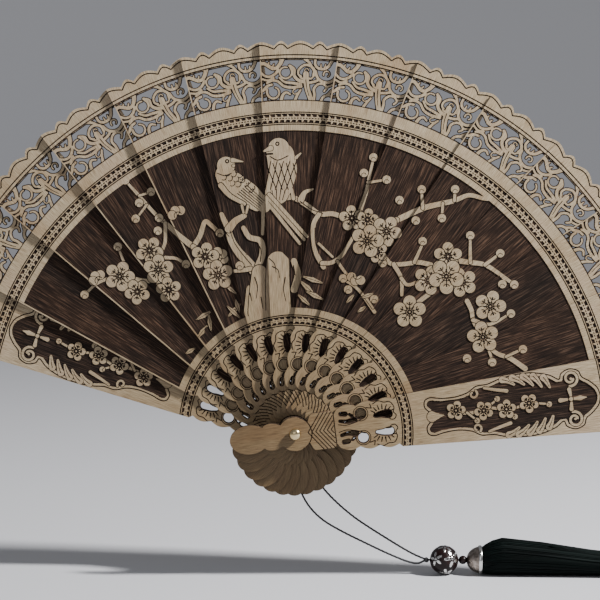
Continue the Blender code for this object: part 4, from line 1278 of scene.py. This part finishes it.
def burnt_wood():
    """Scorched sandalwood: nearly black, with lighter reddish streaks along the grain."""
    material, tree, shader = new_material("burnt_sandalwood", 0.8)
    shader.inputs["Specular IOR Level"].default_value = 0.2
    fine = ramp(tree, streaks(tree, 8.0, (26.0, 0.9, 1.0), 8.0), (
        (0.38, (0.0100, 0.0066, 0.0050)), (0.52, (0.034, 0.022, 0.0155)), (0.72, (0.21, 0.142, 0.098)),
    ))
    clouds = ramp(tree, streaks(tree, 1.6, (2.2, 0.8, 1.0), 3.0), (
        (0.36, (0.55, 0.5, 0.5)), (0.66, (1.35, 1.1, 1.0)),
    ))
    tree.links.new(mixed(tree, fine, clouds, 0.9, "MULTIPLY"), shader.inputs["Base Color"])
    return material


def plain_material(name, dark, light, scale, roughness, metallic=0.0, stretch=(1.0, 1.0, 1.0), gloss=0.5):
    """A finish between two colours, mottled by noise in the piece's own frame."""
    material, tree, shader = new_material(name, roughness, metallic)
    colour = ramp(tree, streaks(tree, scale, stretch, 4.0, False), ((0.35, dark), (0.68, light)))
    tree.links.new(colour, shader.inputs["Base Color"])
    shader.inputs["Specular IOR Level"].default_value = gloss
    return material


def stick_angle(layer):
    return FRONT_GUARD_DEG if layer == STICK_COUNT + 1 else REAR_GUARD_DEG + PITCH_DEG * layer


def layer_y(layer):
    if layer in (0, STICK_COUNT + 1):
        return GUARD_Y if layer == 0 else -GUARD_Y
    return LAYER_PITCH * ((STICK_COUNT + 1) / 2 - layer)


def layer_thickness(layer):
    return GUARD_THICK if layer in (0, STICK_COUNT + 1) else STICK_THICK


def layer_name(layer):
    return {0: "rear_guard", STICK_COUNT + 1: "front_guard"}.get(layer, f"stick_{layer:02d}")


def add_piece(name, mesh, materials, body, nodes, slot):
    """A piece that stands for CAD nodes, rides on a body and takes a slot's finish."""
    for material in materials:
        mesh.materials.append(material)
    piece = bpy.data.objects.new(name, mesh)
    bpy.context.scene.collection.objects.link(piece)
    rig.replaces(piece, *nodes)
    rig.slot(piece, slot)
    if body:
        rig.ride(piece, body)
    return piece


def make_boards(finish):
    """Every stick and guard, carved, standing at its place in the open fan."""
    common = common_board([mirrored])
    guard = common_board([list, mirrored])
    carve_cartouche(guard)
    for layer in range(STICK_COUNT + 2):
        name = layer_name(layer)
        board = guard if layer in (0, STICK_COUNT + 1) else stick_board(common, stick_angle(layer))
        mesh = relief_mesh(name + "_carved", board, layer_thickness(layer), layer)
        turn = Matrix.Rotation(math.radians(stick_angle(layer)), 4, "Y")
        mesh.transform(Matrix.Translation((0.0, layer_y(layer) * MM, 0.0)) @ turn)
        add_piece(name + "_carved", mesh, finish["wood"], name, [name], "sandalwood")


def smoothstep(value):
    value = max(0.0, min(1.0, value))
    return value * value * (3.0 - 2.0 * value)


def solid_sheet(name, rows, thickness, inward):
    """A closed sheet from rows of points on its outer face, thickened along a vector."""
    count = len(rows[0])
    outer = [Vector(point) for row in rows for point in row]
    points = outer + [point + Vector(inward) * thickness for point in outer]
    size = len(outer)
    faces = []
    for i in range(len(rows) - 1):
        for j in range(count - 1):
            a = i * count + j
            faces.append((a, a + 1, a + count + 1, a + count))
            faces.append(tuple(reversed([size + k for k in (a, a + 1, a + count + 1, a + count)])))
    border = list(range(count)) + [i * count + count - 1 for i in range(1, len(rows))]
    border += [(len(rows) - 1) * count + j for j in range(count - 2, -1, -1)]
    border += [i * count for i in range(len(rows) - 2, 0, -1)]
    for a, b in zip(border, border[1:] + border[:1]):
        faces.append((b, a, size + a, size + b))
    mesh = bpy.data.meshes.new(name)
    mesh.from_pydata([tuple(point) for point in points], [], faces)
    return mesh


def make_ribbon(material):
    edge_angle = math.asin(half_width(RIBBON_RADIUS) / RIBBON_RADIUS)
    for layer in range(STICK_COUNT + 1):
        half_angle = math.radians((stick_angle(layer + 1) - stick_angle(layer)) / 2)
        middle = math.radians((stick_angle(layer) + stick_angle(layer + 1)) / 2)
        chord_v = RIBBON_RADIUS * math.cos(half_angle)
        reach = RIBBON_RADIUS * math.sin(half_angle) - RIBBON_END_GAP
        right, left = (
            layer_y(k) + layer_thickness(k) / 2 + RIBBON_CLEARANCE for k in (layer + 1, layer)
        )
        step = RIBBON_RADIUS * math.sin(edge_angle - half_angle) + RIBBON_STEP_GAP
        rows = []
        for i in range(RIBBON_ROWS + 1):
            u = reach - 2 * reach * i / RIBBON_ROWS
            past = smoothstep((step + RIBBON_STEP_LENGTH - u) / RIBBON_STEP_LENGTH)
            y = right + (left - right) * past
            row = []
            for j in range(RIBBON_COLUMNS + 1):
                v = chord_v + RIBBON_WIDTH * (j / RIBBON_COLUMNS - 0.5)
                x = u * math.cos(middle) + v * math.sin(middle)
                z = v * math.cos(middle) - u * math.sin(middle)
                row.append((x * MM, (y + RIBBON_THICK) * MM, z * MM))
            rows.append(row)
        name = f"ribbon_{layer + 1:02d}"
        mesh = solid_sheet(name + "_silk", rows, RIBBON_THICK * MM, (0.0, -1.0, 0.0))
        mesh.shade_smooth()
        mesh.set_sharp_from_angle(angle=math.radians(RIBBON_SHARP_DEG))
        piece = add_piece(name + "_silk", mesh, [material], None, [name], "silk_ribbon")
        first, last = (Vector(row[RIBBON_COLUMNS // 2]) for row in (rows[0], rows[-1]))
        extra = (last - first) * RIBBON_BEND_EXTRA
        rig.blend(piece, layer_name(layer + 1), layer_name(layer), start=first - extra, end=last + extra)
        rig.sheet(piece, flat=(2 * reach * MM, RIBBON_WIDTH * MM), held="stretched",
                 rests_on=[layer_name(layer) + "_carved", layer_name(layer + 1) + "_carved"])


def turned_mesh(name, profile, place, steps=TURNED_STEPS, closed=False, shape=None):
    """A profile of (radius, height) points, turned about Z. shape moves each (point, angle, radius)."""
    points, faces, rings = [], [], []
    for radius, height in profile:
        if radius == 0.0:
            rings.append([len(points)] * steps)
            points.append((0.0, 0.0, height))
            continue
        rings.append(list(range(len(points), len(points) + steps)))
        for i in range(steps):
            angle = 2 * math.pi * i / steps
            here = radius + (shape(angle, height) if shape else 0.0)
            points.append((here * math.cos(angle), here * math.sin(angle), height))
    pairs = list(zip(rings, rings[1:]))
    if closed:
        pairs.append((rings[-1], rings[0]))
    for lower, upper in pairs:
        for i in range(steps):
            j = (i + 1) % steps
            corners = [lower[i], lower[j], upper[j], upper[i]]
            faces.append(list(dict.fromkeys(corners)))
    mesh = bpy.data.meshes.new(name)
    mesh.from_pydata([tuple(Vector(point) * MM) for point in points], [], faces)
    mesh.transform(place)
    mesh.shade_smooth()
    mesh.set_sharp_from_angle(angle=math.radians(TURNED_SHARP_DEG))
    return outward(mesh)


def outward(mesh):
    """Turns the mesh's faces to point out."""
    edited = bmesh.new()
    edited.from_mesh(mesh)
    bmesh.ops.recalc_face_normals(edited, faces=edited.faces)
    edited.to_mesh(mesh)
    edited.free()
    return mesh


def at(x, y, z, turn):
    return Matrix.Translation((x * MM, y * MM, z * MM)) @ turn


def dome(radius, height, base, points=12):
    turns = [math.pi / 2 * i / points for i in range(points + 1)]
    return [(radius * math.sin(a), base + height * math.cos(a)) for a in turns]


def make_rivet_parts(brass):
    head_base = STACK_HALF + 2 * FIT_GAP + WASHER_THICK
    pin_end = -(REAR_CAP_Y - FIT_GAP)
    profile = dome(HEAD_RADIUS, HEAD_HEIGHT, head_base)
    profile += [(RIVET_RADIUS, head_base), (RIVET_RADIUS, pin_end), (0.0, pin_end)]
    rivet = turned_mesh("rivet_turned", profile, TO_FRONT)
    add_piece("rivet_turned", rivet, [brass], "rivet_and_tassel", ["rivet"], "brass")
    cap = turned_mesh("rear_cap_turned", dome(REAR_CAP_RADIUS, REAR_CAP_HEIGHT, 0.0) + [(0.0, 0.0)],
                      at(0.0, REAR_CAP_Y, 0.0, TO_REAR))
    add_piece("rear_cap_turned", cap, [brass], "rivet_and_tassel", ["rear_cap"], "brass")
    for name, radius, side in WASHERS:
        half = WASHER_THICK / 2
        upper = [(RIVET_HOLE_RADIUS, half), (radius - WASHER_CHAMFER, half), (radius, half - WASHER_CHAMFER)]
        profile = upper + [(r, -height) for r, height in reversed(upper)]
        place = at(0.0, side * (STACK_HALF + FIT_GAP + half), 0.0, TO_FRONT)
        washer = turned_mesh(name + "_turned", profile, place, closed=True)
        add_piece(name + "_turned", washer, [brass], "rivet_and_tassel", [name], "brass")
    wire = [(RING_RADIUS + RING_WIRE_RADIUS * math.cos(a), RING_WIRE_RADIUS * math.sin(a))
            for a in (2 * math.pi * i / WIRE_STEPS for i in range(WIRE_STEPS))]
    ring = turned_mesh("tassel_ring_wire", wire, at(*RING_CENTRE, TO_FRONT), closed=True)
    add_piece("tassel_ring_wire", ring, [brass], "rivet_and_tassel", ["tassel_ring"], "brass")


def rope_mesh(name, route, radius, plies=3, twist_per_mm=0.9, sides=18):
    """A closed twisted cord along a route: its section has a lobe for each ply."""
    points, faces = [], []
    route = [Vector(point) for point in route]
    side = (route[1] - route[0]).orthogonal().normalized()
    travelled = 0.0
    for i, here in enumerate(route):
        ahead = (route[min(i + 1, len(route) - 1)] - route[max(i - 1, 0)]).normalized()
        side = (side - ahead * side.dot(ahead)).normalized()
        other = ahead.cross(side)
        travelled += (here - route[i - 1]).length if i else 0.0
        for j in range(sides):
            angle = 2 * math.pi * j / sides
            lobe = abs(math.cos(plies / 2 * (angle - travelled * twist_per_mm)))
            here_radius = radius * (0.78 + 0.22 * lobe)
            points.append(here + (side * math.cos(angle) + other * math.sin(angle)) * here_radius)
    for i in range(len(route) - 1):
        for j in range(sides):
            k = (j + 1) % sides
            faces.append((i * sides + j, i * sides + k, (i + 1) * sides + k, (i + 1) * sides + j))
    faces.append(tuple(range(sides))[::-1])
    faces.append(tuple((len(route) - 1) * sides + j for j in range(sides)))
    mesh = bpy.data.meshes.new(name)
    mesh.from_pydata([tuple(point * MM) for point in points], [], faces)
    mesh.shade_smooth()
    return outward(mesh)


def make_cords(finish):
    """Two twisted strands from the ring: one through the beads and cap into the skirt, one to the knot."""
    strand_a = curve_points(STRAND_A, 24)
    inner = [(x, TASSEL_Y, TASSEL_Z) for x in (KNOT_X, BEAD_X, SMALL_BEAD_X, CAP_X, SKIRT_X)]
    inner.append((SKIRT_X + CORD_INTO_SKIRT, TASSEL_Y, TASSEL_Z - CORD_DROP_IN_SKIRT))
    route_a = strand_a + curve_points(inner, 20)[1:]
    route_b = curve_points(STRAND_B + ((KNOT_X, TASSEL_Y, TASSEL_Z),), 24)
    made = []
    for name, route, nodes in (
        ("strand_a_twisted", route_a, ["cord_strand_a", "cord_core"]),
        ("strand_b_twisted", route_b, ["cord_strand_b"]),
    ):
        mesh = rope_mesh(name, route, CORD_RADIUS)
        piece = add_piece(name, mesh, [finish["cord"]], "rivet_and_tassel", nodes, "cord_silk")
        made.append((piece, [tuple(Vector(point) * MM) for point in route]))
    return made


def on_tassel(x):
    """A place on the tassel's axis, turned so that a profile's heights run along +X."""
    return at(x, TASSEL_Y, TASSEL_Z, TO_RIGHT)


def knot_ridges(angle, height):
    return 0.14 * math.sin(5 * angle + 2.2 * height)


def make_knots(finish):
    """The loop over the ring's wire and the round knot before the bead."""
    wire = [(1.2 + 0.4 * math.cos(a), 0.4 * math.sin(a)) for a in (math.pi * i / 6 for i in range(12))]
    loop = turned_mesh("ring_loop", wire, at(0.0, RING_CENTRE[1], -5.0, TO_RIGHT), 32, True)
    add_piece("ring_loop", loop, [finish["cord"]], "rivet_and_tassel", ["cord_strand_a"], "cord_silk")
    half = dome(KNOT_RADIUS, KNOT_RADIUS, 0.0, 10)
    profile = half + [(radius, -height) for radius, height in reversed(half[:-1])]
    knot = turned_mesh("knot_wound", profile, on_tassel(KNOT_X), 60, False, knot_ridges)
    return add_piece("knot_wound", knot, [finish["cord"]], "rivet_and_tassel", ["cord_knot"], "cord_silk")


def inlay_amount(direction):
    """How far inside an inlaid flower or leaf a direction on the bead is: negative outside."""
    best = -1.0
    for centre, size in BEAD_FLOWERS:
        middle = Vector(centre).normalized()
        side = middle.cross(Vector((0.0, 0.0, 1.0))).normalized()
        up = side.cross(middle)
        off = direction - middle
        if direction.dot(middle) < 0.5:
            continue
        across, above = off.dot(side), off.dot(up)
        far, angle = math.hypot(across, above), math.atan2(above, across)
        petals = size * (0.62 + 0.38 * math.cos(5 * angle)) - far
        eye = abs(far - size * 0.26) - size * 0.05
        veins = abs(math.sin(5 * angle / 2)) * far - size * 0.025
        best = max(best, min(petals, eye, veins if far > size * 0.3 else eye))
    return best


def make_bead(finish):
    """The lacquered bead, bored for the cord, with raised silver inlay."""
    start = math.atan2(BORE_RADIUS, BEAD_RADIUS)
    points, faces, finishes = [], [], []
    for i in range(BEAD_RINGS + 1):
        polar = start + (math.pi - 2 * start) * i / BEAD_RINGS
        for j in range(BEAD_STEPS):
            angle = 2 * math.pi * j / BEAD_STEPS
            around = math.sin(polar)
            direction = Vector((math.cos(polar), around * math.cos(angle), around * math.sin(angle)))
            height = INLAY_HEIGHT if inlay_amount(direction) > 0 else 0.0
            points.append(direction * (BEAD_RADIUS - INLAY_HEIGHT + height))
    for i in range(BEAD_RINGS):
        here, beyond = i * BEAD_STEPS, (i + 1) * BEAD_STEPS
        for j in range(BEAD_STEPS):
            k = (j + 1) % BEAD_STEPS
            face = (here + j, here + k, beyond + k, beyond + j)
            faces.append(face)
            raised = sum(points[index].length > BEAD_RADIUS - INLAY_HEIGHT / 2 for index in face)
            finishes.append(1 if raised >= 3 else 0)
    last = BEAD_RINGS * BEAD_STEPS
    for j in range(BEAD_STEPS):
        k = (j + 1) % BEAD_STEPS
        faces.append((last + j, last + k, k, j))
        finishes.append(0)
    mesh = bpy.data.meshes.new("bead_lacquered")
    centre = Vector((BEAD_X, TASSEL_Y, TASSEL_Z))
    mesh.from_pydata([tuple((point + centre) * MM) for point in points], [], faces)
    mesh.polygons.foreach_set("material_index", finishes)
    mesh.shade_smooth()
    mesh.set_sharp_from_angle(angle=math.radians(BEAD_SHARP_DEG))
    outward(mesh)
    return add_piece("bead_lacquered", mesh, [finish["lacquer"], finish["silver"]], "rivet_and_tassel",
                     ["carved_bead"], "dark_wood")


def make_cap(finish):
    """The small bead, the engraved domed cap, its bright band and the bound silk inside it."""
    made = []
    reach = math.sqrt(SMALL_BEAD_RADIUS ** 2 - BORE_RADIUS ** 2)
    first = math.atan2(BORE_RADIUS, reach)
    turns = [first + (math.pi - 2 * first) * i / 20 for i in range(21)]
    ball = [(SMALL_BEAD_RADIUS * math.sin(a), SMALL_BEAD_RADIUS * math.cos(a)) for a in turns]
    small = turned_mesh("small_bead_turned", ball, on_tassel(SMALL_BEAD_X), closed=True)
    made.append(add_piece("small_bead_turned", small, [finish["lacquer"]], "rivet_and_tassel",
                          ["small_bead"], "dark_wood"))
    arc = [math.radians(80 * i / 26) for i in range(27)]
    outer = [(CAP_RADIUS * math.cos(a), CAP_LENGTH * (1 - math.sin(a))) for a in arc]
    thin = CAP_RADIUS - CAP_WALL
    inner = [(thin * math.cos(a), CAP_LENGTH - (CAP_LENGTH - CAP_WALL) * math.sin(a)) for a in arc]
    cap = turned_mesh("cap_engraved", outer + inner[::-1], on_tassel(CAP_X), 144, True, cap_engraving)
    made.append(add_piece("cap_engraved", cap, [finish["silver_cap"]], "rivet_and_tassel",
                          ["tassel_cap"], "silver"))
    start, bore = CAP_LENGTH - BAND_LENGTH, CAP_RADIUS + 0.1
    band = [(bore, CAP_LENGTH), (BAND_RADIUS - 0.2, CAP_LENGTH), (BAND_RADIUS, CAP_LENGTH - 0.3),
            (BAND_RADIUS, start + 0.3), (BAND_RADIUS - 0.2, start), (bore, start)]
    ring = turned_mesh("band_polished", band, on_tassel(CAP_X), 96, True)
    made.append(add_piece("band_polished", ring, [finish["silver"]], "rivet_and_tassel",
                          ["cap_band"], "silver"))
    inset = CAP_WALL + FIT_GAP
    wide, deep = CAP_RADIUS - inset, CAP_LENGTH - 2 * inset
    head = [(0.0, CAP_LENGTH)] + [(wide * math.cos(a), CAP_LENGTH - deep * math.sin(a)) for a in arc]
    head.append((0.0, head[-1][1]))
    bound = turned_mesh("head_bound", head, on_tassel(CAP_X), 96, False, binding_grooves)
    made.append(add_piece("head_bound", bound, [finish["skirt"]], "rivet_and_tassel",
                          ["tassel_head"], "tassel_silk"))
    return made


def binding_grooves(angle, height):
    return -0.12 * abs(math.sin(24 * angle))


def cap_engraving(angle, height):
    """Shallow scrolls cut round the cap, in the belt between its crown and its band."""
    belt = smoothstep((height - 1.2) / 0.8) * smoothstep((CAP_LENGTH - BAND_LENGTH - height) / 0.6)
    across = math.sin(6 * angle + 1.6 * math.sin(2.2 * height))
    along = math.cos(2.4 * height + 2 * math.cos(6 * angle))
    return -0.16 * belt * smoothstep(abs(across * along) * 2.2 - 0.5)


def skirt_section(along):
    """Height above the table and half width at a place along the skirt."""
    for (a, height_a, wide_a), (b, height_b, wide_b) in zip(SKIRT_SECTIONS, SKIRT_SECTIONS[1:]):
        if along <= b:
            part = (along - a) / (b - a)
            return height_a + (height_b - height_a) * part, wide_a + (wide_b - wide_a) * part
    return SKIRT_SECTIONS[-1][1:]


def skirt_point(along, angle, depth):
    height, half_wide = skirt_section(along)
    y = TASSEL_Y + half_wide * math.sin(angle) * (1 - depth)
    z = TABLE_Z + height * (1 + math.cos(angle) * (1 - depth)) / 2
    return Vector((SKIRT_X + SKIRT_LENGTH * along, y, z))


def make_skirt(finish):
    """The silk skirt: a ridged core and loose threads lying over it, all in one mesh."""
    points, faces = [], []
    for i in range(SKIRT_ROWS + 1):
        along = i / SKIRT_ROWS
        for j in range(SKIRT_SIDES):
            angle = 2 * math.pi * j / SKIRT_SIDES
            ridge = noise.noise(Vector((math.cos(angle) * 9, math.sin(angle) * 9, along * 1.6)))
            fine = noise.noise(Vector((math.cos(angle) * 30, math.sin(angle) * 30, along * 2.5)))
            points.append(skirt_point(along * 0.985, angle, 0.035 + 0.05 * abs(ridge) + 0.04 * abs(fine)))
    for i in range(SKIRT_ROWS):
        here, beyond = i * SKIRT_SIDES, (i + 1) * SKIRT_SIDES
        for j in range(SKIRT_SIDES):
            k = (j + 1) % SKIRT_SIDES
            faces.append((here + j, here + k, beyond + k, beyond + j))
    faces.append(tuple(range(SKIRT_SIDES))[::-1])
    faces.append(tuple(SKIRT_ROWS * SKIRT_SIDES + j for j in range(SKIRT_SIDES)))
    chance = random.Random(SKIRT_SEED)
    for _ in range(SKIRT_STRANDS):
        angle = chance.uniform(-math.pi, math.pi)
        drift = chance.uniform(-0.12, 0.12)
        first, last = chance.uniform(0.0, 0.05), chance.uniform(0.95, 1.0)
        thread = []
        for i in range(25):
            along = first + (last - first) * i / 24
            wander = drift * along + 0.02 * math.sin(9 * along + angle * 5)
            thread.append(skirt_point(along, angle + wander, 0.03))
        add_thread(points, faces, thread, 0.24)
    add_thread(points, faces, [Vector(point) for point in curve_points(STRAY_THREAD, 8)], 0.22)
    mesh = bpy.data.meshes.new("skirt_silk")
    mesh.from_pydata([tuple(point * MM) for point in points], [], faces)
    mesh.shade_smooth()
    outward(mesh)
    return add_piece("skirt_silk", mesh, [finish["skirt"]], "rivet_and_tassel",
                     ["tassel_skirt"], "tassel_silk")


def add_thread(points, faces, route, radius):
    """Adds a thin four-sided thread, tapered to both ends, to a mesh's lists."""
    first = len(points)
    for i, here in enumerate(route):
        thin = radius * (0.4 if i in (0, len(route) - 1) else 1.0)
        for y, z in ((1, 0), (0, 1), (-1, 0), (0, -1)):
            points.append(here + Vector((0.0, y, z)) * thin)
    for i in range(len(route) - 1):
        for j in range(4):
            k = (j + 1) % 4
            a, b = first + i * 4, first + (i + 1) * 4
            faces.append((a + j, a + k, b + k, b + j))
    faces.append(tuple(first + j for j in (3, 2, 1, 0)))
    faces.append(tuple(first + 4 * (len(route) - 1) + j for j in range(4)))


def make_finishes():
    return {
        "wood": [pale_wood(), burnt_wood()],
        "brass": plain_material("polished_brass", (0.62, 0.47, 0.24), (0.80, 0.66, 0.40), 260, 0.24, 1.0),
        "silver": plain_material("polished_silver", (0.62, 0.61, 0.59), (0.86, 0.85, 0.82), 300, 0.2, 1.0),
        "silver_cap": plain_material("engraved_silver", (0.16, 0.13, 0.11), (0.46, 0.40, 0.35),
                                     420, 0.30, 1.0),
        "lacquer": plain_material("dark_lacquer", (0.006, 0.003, 0.003), (0.022, 0.009, 0.008), 210, 0.32,
                                  gloss=0.25),
        "cord": plain_material("black_cord_silk", (0.006, 0.006, 0.007), (0.03, 0.03, 0.033), 900, 0.42),
        "skirt": plain_material("green_black_silk", (0.0008, 0.0022, 0.0019), (0.0030, 0.0075, 0.0064),
                                320, 0.6, stretch=(0.06, 1.0, 1.0), gloss=0.12),
        "ribbon": plain_material("ribbon_silk", (0.50, 0.40, 0.25), (0.68, 0.57, 0.40), 1500, 0.6),
    }


def make_camera():
    camera = bpy.data.objects.new("camera", bpy.data.cameras.new("camera"))
    camera.data.lens = CAMERA_LENS
    elevation = math.radians(CAMERA_ELEVATION_DEG)
    away = Vector((0.0, -math.cos(elevation), math.sin(elevation))) * CAMERA_DISTANCE
    camera.location = AIM + away
    camera.rotation_euler = (-away).to_track_quat("-Z", "Y").to_euler()
    bpy.context.scene.collection.objects.link(camera)
    bpy.context.scene.camera = camera


def area_light(name, place, size, power, aim):
    light = bpy.data.lights.new(name, "AREA")
    light.size = size
    light.energy = power
    obj = bpy.data.objects.new(name, light)
    obj.location = place
    obj.rotation_euler = (Vector(aim) - Vector(place)).to_track_quat("-Z", "Y").to_euler()
    bpy.context.scene.collection.objects.link(obj)
    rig.stage(obj)


def make_stage():
    """A pale round floor that curves up into a wall all the way round, a key light and soft fill."""
    profile = [(0.0, 0.0), (FLOOR_RADIUS - COVE_RADIUS, 0.0)]
    profile += [(FLOOR_RADIUS - COVE_RADIUS * (1 - math.sin(a)), COVE_RADIUS * (1 - math.cos(a)))
                for a in (math.pi / 2 * i / COVE_STEPS for i in range(1, COVE_STEPS + 1))]
    profile.append((FLOOR_RADIUS, WALL_HEIGHT))
    profile = [(radius / MM, height / MM) for radius, height in reversed(profile)]
    mesh = turned_mesh("floor", profile, at(0.0, 0.0, TABLE_Z - FLOOR_GAP, Matrix.Identity(4)), 96)
    mesh.flip_normals()
    material, _, shader = new_material("pale_paper", 0.9)
    shader.inputs["Base Color"].default_value = FLOOR_COLOUR
    mesh.materials.append(material)
    floor = bpy.data.objects.new("floor", mesh)
    floor.visible_diffuse = False
    floor.visible_shadow = False
    bpy.context.scene.collection.objects.link(floor)
    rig.stage(floor)
    world = bpy.data.worlds.new("soft_room")
    bpy.context.scene.world = world
    world.use_nodes = True
    background = world.node_tree.nodes["Background"]
    background.inputs["Color"].default_value = ROOM_COLOUR
    background.inputs["Strength"].default_value = ROOM_STRENGTH
    area_light("key", (1.10, -0.40, 1.05), 0.13, 54.0, (0.0, 0.0, 0.10))
    area_light("fill", (-0.3, -1.6, 0.7), 0.9, 2.0, (0.0, 0.0, 0.06))


def written_bounds(moment):
    low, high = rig.bounds()
    return {moment: [list(map(float, low)), list(map(float, high))]}


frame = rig.load()
size = written_bounds("cad")
make_camera()
finish = make_finishes()
cords = make_cords(finish)
knot = make_knots(finish)
hanging = [knot, make_bead(finish)] + make_cap(finish) + [make_skirt(finish)]
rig.cord(cords[0][0], exit=cords[0][1][0], length=0.19, diameter=2 * CORD_RADIUS * MM, far_end="fitting",
        stiffness="limp", lay="hanging", path=cords[0][1], with_pieces=hanging)
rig.cord(cords[1][0], exit=cords[1][1][0], length=0.095, diameter=2 * CORD_RADIUS * MM, far_end="object",
        stiffness="limp", lay="hanging", path=cords[1][1])
make_rivet_parts(finish["brass"])
make_boards(finish)
make_ribbon(finish["ribbon"])
make_stage()
size.update(written_bounds("visual"))
with open("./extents.json", "w") as written:
    json.dump(size, written)
